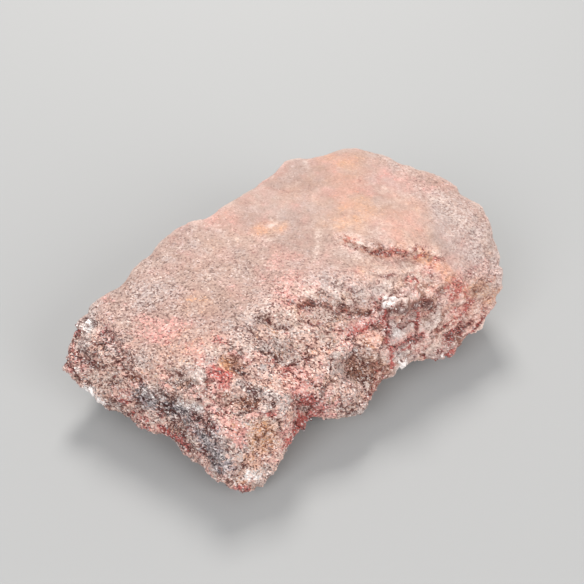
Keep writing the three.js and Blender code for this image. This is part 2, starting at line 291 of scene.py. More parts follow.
OPEN_CRACK = (
    Stain(Mineral.ROSE, 1.8, 0.5, CRACK),
    Stain(Mineral.CINNABAR, 0.85, 0.6, (*CRACK, (25.3, -11.5, 23.3))),
    Stain(Mineral.LIMONITE, 1.0, 0.6, (*CRACK, (25.3, -11.5, 23.3))),
    # Partly brown and maroon dust, partly painted shade: the foot of the crack's step is darkened.
    Stain(Mineral.UMBER, 0.6, 0.7, CRACK[1:]),
    Stain(Mineral.MAROON, 0.5, 0.5, CRACK[1:]),
)

BROKEN_CLIFF = (
    Stain(Mineral.ROSE, 3.0, 0.6, RUST_BAND),
    Stain(Mineral.LIMONITE, 1.8, 0.5, RUST_BAND[:4]),
    Stain(Mineral.UMBER, 0.9, 0.5, RUST_BAND[1:]),
    Stain(Mineral.CINNABAR, 1.2, 0.5, RUST_BAND[2:]),
    Stain(Mineral.LIMONITE, 2.4, 0.6, ((30.4, -21.5, 16.2), (34.3, -21.9, 15.8), (36.2, -23.7, 13.2))),
    Stain(Mineral.UMBER, 1.6, 0.5, ((34.3, -21.5, 16.4), (36.6, -23.1, 13.8))),
    Stain(Mineral.CINNABAR, 1.2, 0.4, UPPER_RIDGE),
    Stain(Mineral.LIMONITE, 1.2, 0.3, UPPER_RIDGE),
    Stain(Mineral.CINNABAR, 1.0, 0.6, LOWER_RIDGE),
    Stain(Mineral.MAROON, 1.0, 0.5, LOWER_RIDGE),
    Stain(Mineral.CINNABAR, 2.6, 0.8, ((18.4, -25.9, 4.4), (23.8, -25.9, 5.0))),
    Stain(Mineral.ASH, 2.2, 0.9, ((21.2, -26.5, 6.9), (22.2, -26.5, 6.2))),
    # Partly dark dust, partly painted shadow: the recess under the quartz is darkened.
    Stain(Mineral.MAROON, 0.9, 1.0, CLIFF_LINE),
    Stain(Mineral.UMBER, 1.1, 1.0, CLIFF_LINE),
    Stain(Mineral.ASH, 2.4, 0.75, (
        (13.6, -19.9, 16.6), (16.8, -20.0, 15.4), (18.8, -20.9, 14.5), (22.1, -20.9, 15.2))),
    Stain(Mineral.CINNABAR, 0.6, 0.95, RED_VEIN),
    Stain(Mineral.ROSE, 1.2, 0.7, RED_VEIN[1:]),
    Stain(Mineral.CINNABAR, 0.9, 0.85, CROSS_VEIN),
    Stain(Mineral.MAROON, 0.9, 0.6, CROSS_VEIN),
    Stain(Mineral.CINNABAR, 0.9, 0.8, ((2.4, -16.5, 18.7), (7.3, -17.3, 18.2), (10.6, -18.0, 18.6))),
    Stain(Mineral.ROSE, 2.2, 0.6, ((14.2, -22.9, 10.6), (17.2, -24.1, 9.0))),
    Stain(Mineral.MILKY, 3.4, 0.1, ((6.7, -9.9, 24.6), (12.2, -12.5, 23.4), (19.0, -13.4, 22.4))),
    Stain(Mineral.ASH, 3.8, 0.55, (
        (1.6, -6.9, 25.0), (5.7, -10.1, 24.6), (11.2, -12.9, 23.3), (16.0, -15.4, 21.6))),
    Stain(Mineral.QUARTZ, 2.2, 0.15, ((8.0, -12.9, 23.0), (13.2, -14.9, 22.0))),
    Stain(Mineral.MILKY, 2.2, 0.6, ((12.0, -16.0, 21.4), (15.5, -17.4, 20.8), (19.5, -18.2, 19.8))),
    Stain(Mineral.QUARTZ, 0.9, 0.85, ((11.7, -16.1, 21.3), (13.0, -16.7, 20.8))),
    Stain(Mineral.ASH, 1.8, 0.8, ((12.0, -20.3, 15.9),)),
    Stain(Mineral.QUARTZ, 1.5, 0.4, ((12.0, -20.3, 15.9),)),
    Stain(Mineral.ASH, 2.6, 0.7, ((10.6, -20.3, 15.6), (11.4, -22.9, 11.2), (12.4, -23.7, 8.6))),
    Stain(Mineral.QUARTZ, 1.5, 0.4, ((10.2, -23.4, 11.6),)),
    Stain(Mineral.QUARTZ, 1.1, 1.0, ((10.4, -24.5, 8.2), (11.4, -24.7, 7.4))),
    Stain(Mineral.QUARTZ, 0.8, 0.8, ((15.2, -24.2, 7.6),)),
    # Partly brown stain, partly painted shade: the wide hollow low on the front is darkened.
    Stain(Mineral.UMBER, 3.8, 0.7, ((0.8, -20.9, 12.7), (2.9, -22.8, 11.2), (4.6, -23.5, 8.8))),
    Stain(Mineral.CINNABAR, 1.5, 0.6, ((5.0, -24.3, 9.2), (1.6, -25.1, 8.2))),
)

SLOPE = (
    # Partly dark dust, partly painted shade: the foot of the dark shelf's ledge is darkened.
    Stain(Mineral.UMBER, 1.0, 0.9, DARK_SHELF),
    Stain(Mineral.MAROON, 0.7, 0.6, DARK_SHELF),
    Stain(Mineral.CINNABAR, 0.8, 0.6, DARK_SHELF[:3]),
    Stain(Mineral.UMBER, 0.9, 0.5, (
        (-0.2, -8.0, 25.3), (1.6, -9.7, 24.3), (3.2, -12.6, 23.1), (5.7, -13.9, 20.9))),
    # Partly dark dust, partly painted shade: the slit and the pit are darkened.
    Stain(Mineral.MAROON, 0.6, 0.8, SLOPE_HOLLOW),
    Stain(Mineral.UMBER, 0.5, 0.9, SLOPE_HOLLOW),
    Stain(Mineral.MAROON, 1.0, 0.65, SLOPE_PIT),
    Stain(Mineral.UMBER, 1.6, 0.75, SLOPE_PIT),
    Stain(Mineral.CINNABAR, 1.5, 0.85, ((-25.7, -9.0, 19.9), (-24.9, -10.2, 19.4), (-25.9, -11.4, 19.0))),
    Stain(Mineral.LIMONITE, 1.5, 0.8, ((-23.1, -8.4, 19.9), (-22.9, -9.6, 19.3))),
    Stain(Mineral.ROSE, 3.0, 0.95, (
        (-26.6, -8.1, 20.2), (-28.2, -11.5, 19.5), (-29.0, -15.9, 18.0), (-29.4, -19.5, 15.6))),
    Stain(Mineral.CINNABAR, 1.0, 0.35, ((-27.8, -11.5, 19.4), (-29.6, -17.5, 17.0))),
    Stain(Mineral.UMBER, 1.8, 0.8, ((-27.4, -14.3, 18.3), (-25.5, -16.0, 17.2), (-23.4, -16.7, 16.8))),
    Stain(Mineral.METACINNABAR, 1.4, 0.3, ((-22.5, -13.8, 17.8), (-21.0, -16.8, 17.4))),
    Stain(Mineral.UMBER, 1.1, 0.8, ((-32.1, -7.1, 19.7), (-30.9, -7.8, 19.8))),
    Stain(Mineral.UMBER, 0.7, 0.8, ((-31.2, -10.1, 19.4), (-28.4, -10.4, 19.8))),
    Stain(Mineral.ASH, 2.6, 0.7, ((-37.2, 3.9, 18.4), (-35.6, 2.7, 18.8))),
    Stain(Mineral.ASH, 3.0, 0.65, ((-31.8, -4.7, 20.2), (-29.8, -7.1, 20.2))),
    Stain(Mineral.ASH, 1.5, 0.8, ((-25.1, -6.1, 21.8), (-24.6, -7.1, 21.4))),
    Stain(Mineral.ASH, 3.6, 0.55, ((-16.8, -6.5, 22.6), (-13.2, -8.9, 21.6))),
    Stain(Mineral.CINNABAR, 0.8, 0.7, ((-15.4, -13.1, 18.9), (-15.2, -14.7, 17.9), (-12.6, -15.8, 17.2))),
    Stain(Mineral.CINNABAR, 1.2, 0.6, ((-22.5, -5.0, 22.6), (-21.8, -5.9, 22.2))),
    Stain(Mineral.ROSE, 3.0, 0.5, ((-12.2, -17.5, 15.8), (-16.2, -19.5, 15.4))),
    Stain(Mineral.ROSE, 2.4, 0.5, ((-4.2, -24.5, 10.6), (1.8, -25.9, 8.4))),
)

NEAR_CORNER = (
    Stain(Mineral.CINNABAR, 1.8, 0.95, GULLY),
    Stain(Mineral.CINNABAR, 1.3, 0.9, GULLY),
    Stain(Mineral.ROSE, 2.6, 0.9, GULLY[:3]),
    Stain(Mineral.MAROON, 1.0, 0.2, GULLY[1:]),
    Stain(Mineral.CINNABAR, 1.5, 1.0, GULLY_FOOT),
    Stain(Mineral.MAROON, 0.8, 0.4, GULLY_FOOT),
    Stain(Mineral.CINNABAR, 0.9, 0.8, ((-22.1, -20.4, 16.3), (-21.2, -21.3, 15.7))),
    Stain(Mineral.LIMONITE, 2.4, 0.55, ((-24.6, -21.4, 14.0), (-23.9, -23.2, 9.7))),
    Stain(Mineral.CINNABAR, 1.4, 0.9, ((-33.0, -24.1, 5.2), (-31.8, -25.9, 4.6))),
    Stain(Mineral.QUARTZ, 1.1, 0.6, ((-29.8, -24.5, 7.0), (-27.8, -25.3, 6.0))),
)

END_FACE = (
    Stain(Mineral.METACINNABAR, 2.6, 0.75, (
        (-38.5, -1.1, 13.4), (-36.5, -4.6, 13.2), (-34.8, -8.2, 13.4), (-33.2, -12.5, 14.2),
        (-32.7, -17.2, 13.6))),
    Stain(Mineral.METACINNABAR, 2.2, 0.75, ((-33.6, -16.5, 11.0), (-32.2, -21.5, 10.2))),
    Stain(Mineral.ASH, 1.7, 0.95, UPPER_VEIN),
    Stain(Mineral.QUARTZ, 1.2, 0.45, UPPER_VEIN),
    Stain(Mineral.ASH, 1.6, 0.9, LOWER_VEIN),
    Stain(Mineral.QUARTZ, 1.1, 0.4, LOWER_VEIN),
    Stain(Mineral.ASH, 2.6, 0.6, ((-32.5, -18.0, 11.4), (-31.9, -23.5, 8.3))),
    Stain(Mineral.CINNABAR, 1.5, 0.6, END_RED),
    Stain(Mineral.MAROON, 1.8, 0.45, END_RED),
    Stain(Mineral.MILKY, 3.0, 0.6, ((-42.6, 10.4, 12.6), (-40.4, 4.6, 13.4))),
    Stain(Mineral.MILKY, 2.2, 0.7, ((-39.8, -3.5, 9.2), (-37.4, -8.6, 9.2), (-35.6, -13.4, 8.6))),
    Stain(Mineral.CINNABAR, 1.7, 0.95, ((-37.4, -7.2, 7.0), (-36.9, -10.0, 7.5), (-36.6, -11.8, 7.8))),
    Stain(Mineral.MAROON, 1.0, 0.8, ((-38.4, -7.9, 6.0), (-37.0, -11.8, 6.2))),
    Stain(Mineral.CINNABAR, 2.4, 0.45, ((-40.8, -0.5, 7.6), (-39.0, -4.5, 7.0))),
    Stain(Mineral.CINNABAR, 0.9, 0.85, ((-41.6, 3.3, 10.8), (-41.2, 2.3, 9.8))),
    Stain(Mineral.UMBER, 0.9, 0.85, ((-38.1, 3.0, 15.9), (-37.6, 1.3, 16.1))),
)

LEFT_CORNER = (
    Stain(Mineral.CINNABAR, 2.0, 0.45, LEFT_CROOK),
    Stain(Mineral.METACINNABAR, 1.9, 0.4, LEFT_CROOK),
    Stain(Mineral.MAROON, 1.3, 0.5, LEFT_CROOK),
    Stain(Mineral.CINNABAR, 2.6, 0.5, LEFT_TIP),
    Stain(Mineral.MAROON, 2.0, 0.4, LEFT_TIP),
    Stain(Mineral.CINNABAR, 1.0, 0.7, ((-41.2, 18.7, 16.2),)),
    Stain(Mineral.ASH, 3.0, 0.95, ((-38.2, 20.7, 19.2), (-39.8, 18.9, 17.4), (-40.8, 16.9, 16.6))),
    Stain(Mineral.QUARTZ, 1.4, 0.5, ((-39.8, 18.1, 17.2), (-40.1, 17.4, 17.0))),
    Stain(Mineral.QUARTZ, 1.6, 1.0, ((-45.3, 9.9, 8.6), (-44.8, 7.9, 6.6))),
)

STAINS = (*SMOOTH_TOP, *OPEN_CRACK, *BROKEN_CLIFF, *SLOPE, *NEAR_CORNER, *END_FACE, *LEFT_CORNER)

DRIFTS = (
    Drift(Mineral.ASH, 0.15, 0.30, 9.0, 61, 0.05, 0.7, stretch=GRAIN_STRETCH),
    Drift(Mineral.ROSE, 0.25, 0.20, 9.0, 61, 0.0, 0.7, gaps=True, stretch=GRAIN_STRETCH),
    Drift(Mineral.ROSE, 0.20, 0.15, 3.2, 131, 0.1, 0.6),
    Drift(Mineral.ASH, 0.30, 0.0, 3.2, 131, 0.1, 0.6, gaps=True),
    Drift(Mineral.LIMONITE, 0.18, 0.0, 14.0, 83, 0.1, 0.8),
    Drift(Mineral.MAROON, 0.0, 0.22, 2.4, 133, 0.25, 0.6),
    Drift(Mineral.MILKY, 0.125, 0.375, 6.0, 127, 0.0, 0.5, stretch=1.6),
)
BLOCK_TINTS = (
    BlockTint(Mineral.ROSE, 0.0, 0.18, 0.42),
    BlockTint(Mineral.LIMONITE, 0.20, 0.30, 0.22),
    BlockTint(Mineral.UMBER, 0.30, 0.37, 0.20),
    BlockTint(Mineral.MILKY, 0.38, 0.52, 0.42),
    BlockTint(Mineral.CINNABAR, 0.52, 0.58, 0.18),
    BlockTint(Mineral.ASH, 0.76, 1.0, 0.42),
)

# The top's height at its crest, x of the crest, and how far the top falls for each millimetre to its sides.
TOP_HEIGHT = 27.0
TOP_CREST = 20.0
TOP_FALL = 0.16

# The line round the smooth top on its broken sides, seen from above, from the far left to the right.
PLATEAU_EDGE = (
    (-38.5, 26.0), (-37.6, 19.0), (-36.0, 13.0), (-35.4, 8.5), (-34.8, 3.5), (-33.0, -1.5), (-30.0, -5.6),
    (-24.5, -7.6), (-17.0, -6.6), (-12.5, -5.9), (-6.6, -5.0), (-2.9, -5.4), (2.9, -8.0), (9.0, -10.2),
    (17.1, -12.2), (24.2, -14.6), (27.6, -19.2), (39.8, -25.5))


def smoothstep(low: float, high: float, value: np.ndarray) -> np.ndarray:
    """Rises smoothly from 0 at low to 1 at high.

    Args:
        low: The value at and below which the result is 0.
        high: The value at and above which the result is 1.
        value: The values to place between them.

    Returns:
        The shares, from 0 to 1.
    """
    share = np.clip((value - low) / (high - low), 0, 1)
    return share * share * (3 - 2 * share)


def hashed(cells: np.ndarray, seed: int) -> np.ndarray:
    """Gives every whole-number cell three random numbers of its own.

    Args:
        cells: Whole numbers, with x, y and z on the last axis.
        seed: Picks another set of random numbers.

    Returns:
        Numbers from 0 to 1 in the shape of cells.
    """
    x, y, z = (
        cells[..., axis].astype(np.int64).astype(np.uint32) * np.uint32(factor)
        for axis, factor in enumerate(AXIS_FACTORS)
    )
    key = (x ^ y ^ z) + np.uint32(seed * SEED_FACTOR)
    mixed = []
    for _ in range(3):
        key = (key ^ (key >> np.uint32(15))) * np.uint32(MIX_FACTORS[0])
        key = (key ^ (key >> np.uint32(13))) * np.uint32(MIX_FACTORS[1])
        key = key ^ (key >> np.uint32(16))
        mixed.append(key / 2.0**32)
    return np.stack(mixed, axis=-1)


def cloud(points: np.ndarray, size: float, seed: int, octaves: int = 3) -> np.ndarray:
    """Soft random swells, each octave half the size and half the strength of the last.

    Args:
        points: Points in millimetres.
        size: The width of the largest swells.
        seed: Picks other swells.
        octaves: How many sizes are laid over each other.

    Returns:
        A value for each point, from about -1 to 1.
    """
    total = np.zeros(len(points))
    strength = 1.0
    reach = 0.0
    for octave in range(octaves):
        place = points * (2**octave / size) + OCTAVE_SHIFT * octave
        corner = np.floor(place)
        blend = place - corner
        blend = blend**3 * (blend * (blend * 6 - 15) + 10)
        for step in np.ndindex(2, 2, 2):
            weight = np.prod(np.where(np.array(step) == 1, blend, 1 - blend), axis=1)
            total += strength * weight * (2 * hashed(corner + step, seed + octave)[:, 0] - 1)
        reach += strength
        strength /= 2
    return total * CLOUD_GAIN / reach


def sway(points: np.ndarray, size: float, seed: int) -> np.ndarray:
    """Three clouds at once, one for each axis, to move points softly to and fro.

    Args:
        points: Points in millimetres.
        size: The width of the largest swells.
        seed: Picks other swells.

    Returns:
        A vector for each point, with each part from about -1 to 1.
    """
    return np.stack([cloud(points, size, seed + axis) for axis in range(3)], axis=1)


def along_grain(points: np.ndarray, stretch: float = GRAIN_STRETCH) -> np.ndarray:
    """Squeezes space along the stone's grain, so that what is drawn in it comes out stretched that way.

    Args:
        points: Points in millimetres.
        stretch: How much longer things come out along the grain.

    Returns:
        The points in the squeezed space.
    """
    c, s = math.cos(GRAIN_HEADING), math.sin(GRAIN_HEADING)
    along = (points[:, 0] * c + points[:, 1] * s) / stretch
    across = points[:, 1] * c - points[:, 0] * s
    return np.stack([along, across, points[:, 2]], axis=1)


def along_beds(points: np.ndarray, stretch: float) -> np.ndarray:
    """Squeezes space along the beds that show on the cliff at the right.

    Args:
        points: Points in millimetres.
        stretch: How much longer things come out along the beds.

    Returns:
        The points in the squeezed space.
    """
    way = np.array(BED_WAY) / np.linalg.norm(BED_WAY)
    return points - (1 - 1 / stretch) * np.outer(points @ way, way)


def on_cliff(points: np.ndarray) -> np.ndarray:
    """1 on the steep broken ground at the right of the front, and 0 away from it."""
    return smoothstep(6, 12, points[:, 0]) * smoothstep(-11, -16, points[:, 1])


def on_small_end(points: np.ndarray, start: float) -> np.ndarray:
    """1 on the small end at the left, falling to 0 where x reaches start."""
    return smoothstep(start, SMALL_END, points[:, 0])


@dataclass(frozen=True)
class Blocks:
    """Broken blocks: each point's height, its block's random number, and the way to the block's edge."""

    height: np.ndarray
    lot: np.ndarray
    edge: np.ndarray


def blocks(points: np.ndarray, size: float, rise: float, tilt: float, seed: int) -> Blocks:
    """Splits space into angular blocks that end in steps, as stone does where it breaks.

    Args:
        points: Points in millimetres.
        size: The width of a block.
        rise: How far the blocks stand over or under each other, as a share of the width.
        tilt: How steeply their faces lean, as height over width.
        seed: Picks other blocks.

    Returns:
        The blocks at the points, with heights and ways in millimetres.
    """
    place = points / size
    corner = np.floor(place)
    closest = np.full(len(points), np.inf)
    second = np.full(len(points), np.inf)
    height = np.zeros(len(points))
    lot = np.zeros(len(points))
    for step in np.ndindex(3, 3, 3):
        cell = corner + np.array(step) - 1
        offset = place - cell - hashed(cell, seed)
        distance = np.sqrt(np.einsum("ij,ij->i", offset, offset))
        closer = distance < closest
        second = np.where(closer, closest, np.minimum(second, distance))
        traits = hashed(cell[closer], seed + 1)
        lean = 2 * hashed(cell[closer], seed + 2) - 1
        closest[closer] = distance[closer]
        lot[closer] = traits[:, 0]
        height[closer] = rise * (2 * traits[:, 1] - 1) + tilt * np.einsum("ij,ij->i", lean, offset[closer])
    return Blocks(height * size, lot, (second - closest) * size)


@dataclass(frozen=True)
class Nearness:
    """How points lie to a path.

    distance and offset lead from the path to the points, run is the path's direction at the place nearest to
    them, and share is how far along the path that place is.
    """

    distance: np.ndarray
    offset: np.ndarray
    run: np.ndarray
    share: np.ndarray


def near(points: np.ndarray, path: Sequence[Sequence[float]]) -> Nearness:
    """Finds the nearest place on a path for every point.

    Args:
        points: Points in as many dimensions as the path.
        path: One or more corners of the path.

    Returns:
        The distances, offsets, directions and shares along the path.
    """
    corners = np.array(path, float)
    if len(corners) == 1:
        offset = points - corners[0]
        distance = np.linalg.norm(offset, axis=1)
        return Nearness(distance, offset, np.zeros_like(points), np.full(len(points), 0.5))
    lengths = np.linalg.norm(np.diff(corners, axis=0), axis=1)
    before = np.concatenate([[0], np.cumsum(lengths)])
    distance = np.full(len(points), np.inf)
    offset = np.zeros_like(points)
    run = np.zeros_like(points)
    share = np.zeros(len(points))
    for index, length in enumerate(lengths):
        way = (corners[index + 1] - corners[index]) / length
        walked = np.clip((points - corners[index]) @ way, 0, length)
        away = points - corners[index] - walked[:, None] * way
        reach = np.linalg.norm(away, axis=1)
        closer = reach < distance
        distance[closer] = reach[closer]
        offset[closer] = away[closer]
        run[closer] = way
        share[closer] = (before[index] + walked[closer]) / before[-1]
    return Nearness(distance, offset, run, share)


def taper(share: np.ndarray, end: float = 0.22) -> np.ndarray:
    """Fades a form towards the two ends of its path.

    Args:
        share: The share along the path, from 0 to 1.
        end: The share of the path over which it fades.

    Returns:
        The strength of the form there, from 0.15 to 1.
    """
    return 0.15 + 0.85 * smoothstep(0, end, share) * smoothstep(0, end, 1 - share)


def vigour(points: np.ndarray) -> np.ndarray:
    """How boldly the broken ground is blocked out: most on the small end and on the cliff at the right."""
    return 0.8 + 0.1 * on_small_end(points, -28) + 0.3 * on_cliff(points)


def open_ground(points: np.ndarray) -> np.ndarray:
    """The share of the rough slope and sides in the ground, which is low on the smooth plateau on top.

    Args:
        points: Points in millimetres.

    Returns:
        1 on the rough sides and 0 on the plateau.
    """
    place = near(points[:, :2], PLATEAU_EDGE)
    side = place.run[:, 0] * place.offset[:, 1] - place.run[:, 1] * place.offset[:, 0]
    outward = np.where(side > 0, -place.distance, place.distance) + 1.5 * cloud(points, 6, 71)
    under_top = TOP_HEIGHT - points[:, 2] - TOP_FALL * np.abs(points[:, 0] - TOP_CREST)
    below = 0.6 * smoothstep(4.0, 8.0, under_top)
    sharp = 1 + smoothstep(-24, -34, points[:, 0])
    steep = smoothstep(-5.0, 7.0, outward * sharp)
    torn = 0.8 * np.exp(-(near(points, CRACK_LEDGE.path).distance / 1.8) ** 2)
    return np.maximum(np.maximum(steep, below), torn)


@dataclass(frozen=True)
class Pepper:
    """The share of dark grains: small on top, larger on the broken sides and largest on the small end.

    On the top it starts from top, and grows by rim towards the edge, over rim_width in millimetres, by tip
    at the right end and by patches in the left half. On the sides it starts from side, and grows by clusters
    and streaks in places and by small_end at that end, and right_less is the share that the right half lacks.
    """

    top: float = 0.05
    rim: float = 0.15
    rim_width: float = 14.0
    tip: float = 0.07
    patches: float = 0.11
    side: float = 0.03
    clusters: float = 0.18
    streaks: float = 0.30
    small_end: float = 0.17
    right_less: float = 0.45

    def over(self, points: np.ndarray) -> np.ndarray:
        """Works out the share of dark grains.

        Args:
            points: Points in millimetres.

        Returns:
            The share at each point, from 0 to 1.
        """
        x = points[:, 0]
        edge = near(points[:, :2], PLATEAU_EDGE).distance
        top = self.top + self.rim * np.exp(-(edge / self.rim_width) ** 2) + self.tip * smoothstep(30, 38, x)
        top += self.patches * smoothstep(8, -26, x) * smoothstep(-0.5, 0.5, cloud(points, 5.0, 117))
        clustered = smoothstep(-0.15, 0.5, cloud(points, 3.0, 113))
        streaked = smoothstep(0.18, 0.02, np.abs(cloud(along_grain(points), 3.0, 151)))
        side = self.side + self.clusters * clustered + self.streaks * streaked
        side += self.small_end * on_small_end(points, -24)
        return np.maximum(top, open_ground(points) * side * (1 - self.right_less * smoothstep(0, 10, x)))


class MeshWork:
    """Small jobs on meshes."""

    @staticmethod
    def points(mesh: bpy.types.Mesh) -> np.ndarray:
        """Reads where the mesh's vertices are.

        Args:
            mesh: The mesh.

        Returns:
            One point for each vertex, in millimetres.
        """
        flat = np.empty(len(mesh.vertices) * 3)
        mesh.vertices.foreach_get("co", flat)
        return flat.reshape(-1, 3) / MM

    @staticmethod
    def normals(mesh: bpy.types.Mesh) -> np.ndarray:
        """Reads which way the mesh's vertices face.

        Args:
            mesh: The mesh.

        Returns:
            One normal for each vertex.
        """
        flat = np.empty(len(mesh.vertices) * 3)
        mesh.vertices.foreach_get("normal", flat)
        return flat.reshape(-1, 3)

    @staticmethod
    def move(mesh: bpy.types.Mesh, points: np.ndarray) -> None:
        """Puts the mesh's vertices at points in millimetres."""
        mesh.vertices.foreach_set("co", (points * MM).ravel())
        mesh.update()

    @staticmethod
    def relief(mesh: bpy.types.Mesh, rounds: int) -> np.ndarray:
        """Measures how far each vertex stands over the smoothed surface round it.

        Args:
            mesh: The mesh.
            rounds: How often the surface is smoothed, which sets how wide a form has to be to count.

        Returns:
            Heights in millimetres, which are below zero in hollows.
        """
        points = MeshWork.points(mesh)
        ends = np.empty(len(mesh.edges) * 2, np.int64)
        mesh.edges.foreach_get("vertices", ends)
        here = np.concatenate([ends[0::2], ends[1::2]])
        there = np.concatenate([ends[1::2], ends[0::2]])
        count = np.bincount(here, minlength=len(points))[:, None]
        smooth = points
        for _ in range(rounds):
            sums = [np.bincount(here, smooth[there, axis], len(points)) for axis in range(3)]
            smooth = 0.4 * smooth + 0.6 * np.stack(sums, axis=1) / count
        return np.einsum("ij,ij->i", points - smooth, MeshWork.normals(mesh))

    @staticmethod
    def write(mesh: bpy.types.Mesh, name: str, values: np.ndarray) -> None:
        """Stores one number for each vertex under a name."""
        attribute = mesh.attributes.new(name, "FLOAT", "POINT")
        attribute.data.foreach_set("value", values.astype(np.float32))

    @staticmethod
    def through(mesh: bpy.types.Mesh, kind: str, **settings: object) -> bpy.types.Mesh:
        """Runs one modifier over a mesh.

        Args:
            mesh: The mesh to start from.
            kind: The modifier's type.
            settings: The modifier's settings by name.

        Returns:
            A new mesh with the modifier applied.
        """
        worker = bpy.data.objects.new("worker", mesh)
        bpy.context.scene.collection.objects.link(worker)
        modifier = worker.modifiers.new(kind, kind)
        for name, value in settings.items():
            setattr(modifier, name, value)
        graph = bpy.context.evaluated_depsgraph_get()
        made = bpy.data.meshes.new_from_object(worker.evaluated_get(graph), depsgraph=graph)
        bpy.data.objects.remove(worker)
        return made


@dataclass
class Skin:
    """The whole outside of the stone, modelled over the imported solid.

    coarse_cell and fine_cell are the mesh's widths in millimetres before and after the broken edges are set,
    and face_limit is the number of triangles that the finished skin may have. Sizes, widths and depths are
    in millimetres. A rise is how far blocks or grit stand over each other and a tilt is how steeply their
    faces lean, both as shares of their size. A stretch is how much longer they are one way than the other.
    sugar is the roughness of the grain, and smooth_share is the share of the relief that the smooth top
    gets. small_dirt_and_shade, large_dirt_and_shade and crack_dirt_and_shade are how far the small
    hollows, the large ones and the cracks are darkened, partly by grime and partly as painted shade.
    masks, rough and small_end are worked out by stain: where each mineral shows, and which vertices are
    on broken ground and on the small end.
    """

    node: bpy.types.Object
    coarse_cell: float = 0.5
    fine_cell: float = 0.36
    face_limit: int = 190_000
    block_sizes: tuple[float, ...] = (6.5, 3.4, 1.8)
    block_rise: float = 0.055
    block_tilt: float = 0.17
    block_stretch: float = 1.6
    bed_stretch: float = 2.4
    grit_sizes: tuple[float, ...] = (1.5, 0.8)
    grit_rise: float = 0.05
    grit_tilt: float = 0.18
    grit_stretch: float = 1.3
    crack_depth: float = 0.45
    sugar: float = 0.05
    terrace_width: float = 9.0
    terrace_rise: float = 0.30
    smooth_share: float = 0.2
    # How far small hollows, large hollows and cracks are darkened: partly dirt, partly painted shade.
    small_dirt_and_shade: float = 0.5
    large_dirt_and_shade: float = 0.85
    crack_dirt_and_shade: float = 0.9
    pepper: Pepper = Pepper()
    masks: dict[Mineral, np.ndarray] = field(default_factory=dict)
    rough: np.ndarray | None = None
    small_end: np.ndarray | None = None

    def build(self) -> bpy.types.Object:
        """Builds the skin and stores its mineral masks.

        Returns:
            The finished piece, without its material.
        """
        mesh = self.closed_copy()
        mesh = MeshWork.through(mesh, "REMESH", mode="VOXEL", voxel_size=self.coarse_cell * MM)
        mesh = MeshWork.through(mesh, "SMOOTH", factor=0.5, iterations=2)
        self.break_up(mesh)
        mesh = MeshWork.through(mesh, "REMESH", mode="VOXEL", voxel_size=self.fine_cell * MM)
        self.roughen(mesh)
        ratio = self.face_limit / (2 * len(mesh.polygons))
        mesh = MeshWork.through(mesh, "DECIMATE", ratio=ratio, use_collapse_triangulate=True)
        self.stain(mesh)
        piece = bpy.data.objects.new("stone", mesh)
        bpy.context.scene.collection.objects.link(piece)
        mesh.shade_flat()
        LOG.info("stone: %d faces", len(mesh.polygons))
        return piece

    def closed_copy(self) -> bpy.types.Mesh:
        """Copies the solid's mesh and joins its split corners.

        Returns:
            A closed mesh of the plain solid.
        """
        work = bmesh.new()
        work.from_mesh(self.node.data)
        bmesh.ops.remove_doubles(work, verts=work.verts, dist=0.01 * MM)
        mesh = bpy.data.meshes.new("stone")
        work.to_mesh(mesh)
        work.free()
        return mesh

    def break_up(self, mesh: bpy.types.Mesh) -> None:
        """Sets the ledges, hollows, knobs and larger chips.

        Args:
            mesh: The plain skin.
        """
        points = MeshWork.points(mesh)
        normals = MeshWork.normals(mesh)
        ragged = points + 0.5 * sway(points, 2.6, 31)
        height, shift = self.ledges(ragged, normals)
        for form in FORMS:
            distance = near(ragged, form.path).distance
            height += form.height * np.exp(-(distance / form.reach) ** 2 * 1.4)
        share = self.relief_share(points)
        for turn, size in enumerate(self.block_sizes):
            height += share * vigour(points) * self.broken(points, turn, size).height
        height += self.terrace_rise * share * self.terraces(points)
        free = smoothstep(0.4, 2.4, points[:, 2])
        MeshWork.move(mesh, points + (normals * height[:, None] + shift) * free[:, None])

    @staticmethod
    def ledges(points: np.ndarray, normals: np.ndarray) -> tuple[np.ndarray, np.ndarray]:
        """Works out the steps of the ledges and their overhanging lips.

        Args:
            points: Points in millimetres.
            normals: Which way the skin faces at each of them.

        Returns:
            How far each point rises along its normal, and how it shifts sideways, in millimetres.
        """
        height = np.zeros(len(points))
        shift = np.zeros_like(points)
        for ledge in LEDGES:
            place = near(points, ledge.path)
            side = np.einsum("ij,ij->i", np.cross(place.run, place.offset), normals)
            outward = np.where(side < 0, -place.distance, place.distance)
            strength = taper(place.share) * np.exp(-(place.distance / ledge.fade) ** 2)
            height += ledge.drop * strength * (smoothstep(-0.5, 0.5, outward) - 0.62)
            hang = np.exp(-((outward - 0.5) / 0.9) ** 2) * taper(place.share)
            shift += ledge.lip * hang[:, None] * np.cross(place.run, normals)
        return height, shift

    def relief_share(self, points: np.ndarray) -> np.ndarray:
        """The share of the broken relief that each point gets: all of it on the rough sides."""
        return self.smooth_share + (1 - self.smooth_share) * open_ground(points)

    def terraces(self, points: np.ndarray) -> np.ndarray:
        """Gathers a wide swell into steps, drawn out along the grain.

        Args:
            points: Points in millimetres.

        Returns:
            How far each point stands over or under the swell, in steps.
        """
        swell = 3 * cloud(along_grain(points, 2.6), self.terrace_width, 43)
        return np.floor(swell) + smoothstep(0.38, 0.62, swell % 1) - swell

    def broken(self, points: np.ndarray, turn: int, size: float) -> Blocks:
        """The blocks of one size at some points.

        Args:
            points: Points in millimetres.
            turn: Which of the sizes this is, counted from 0.
            size: The width of the blocks.

        Returns:
            The blocks at the points.
        """
        warp = 0.22 * size * sway(points, 0.8 * size, 11)
        bedded = on_cliff(points + 2 * warp) > 0.5
        squeezed = along_grain(points + warp, self.block_stretch)
        squeezed[bedded] = along_beds((points + warp)[bedded], self.bed_stretch)
        return blocks(squeezed, size, self.block_rise, self.block_tilt, 5 + 3 * turn)

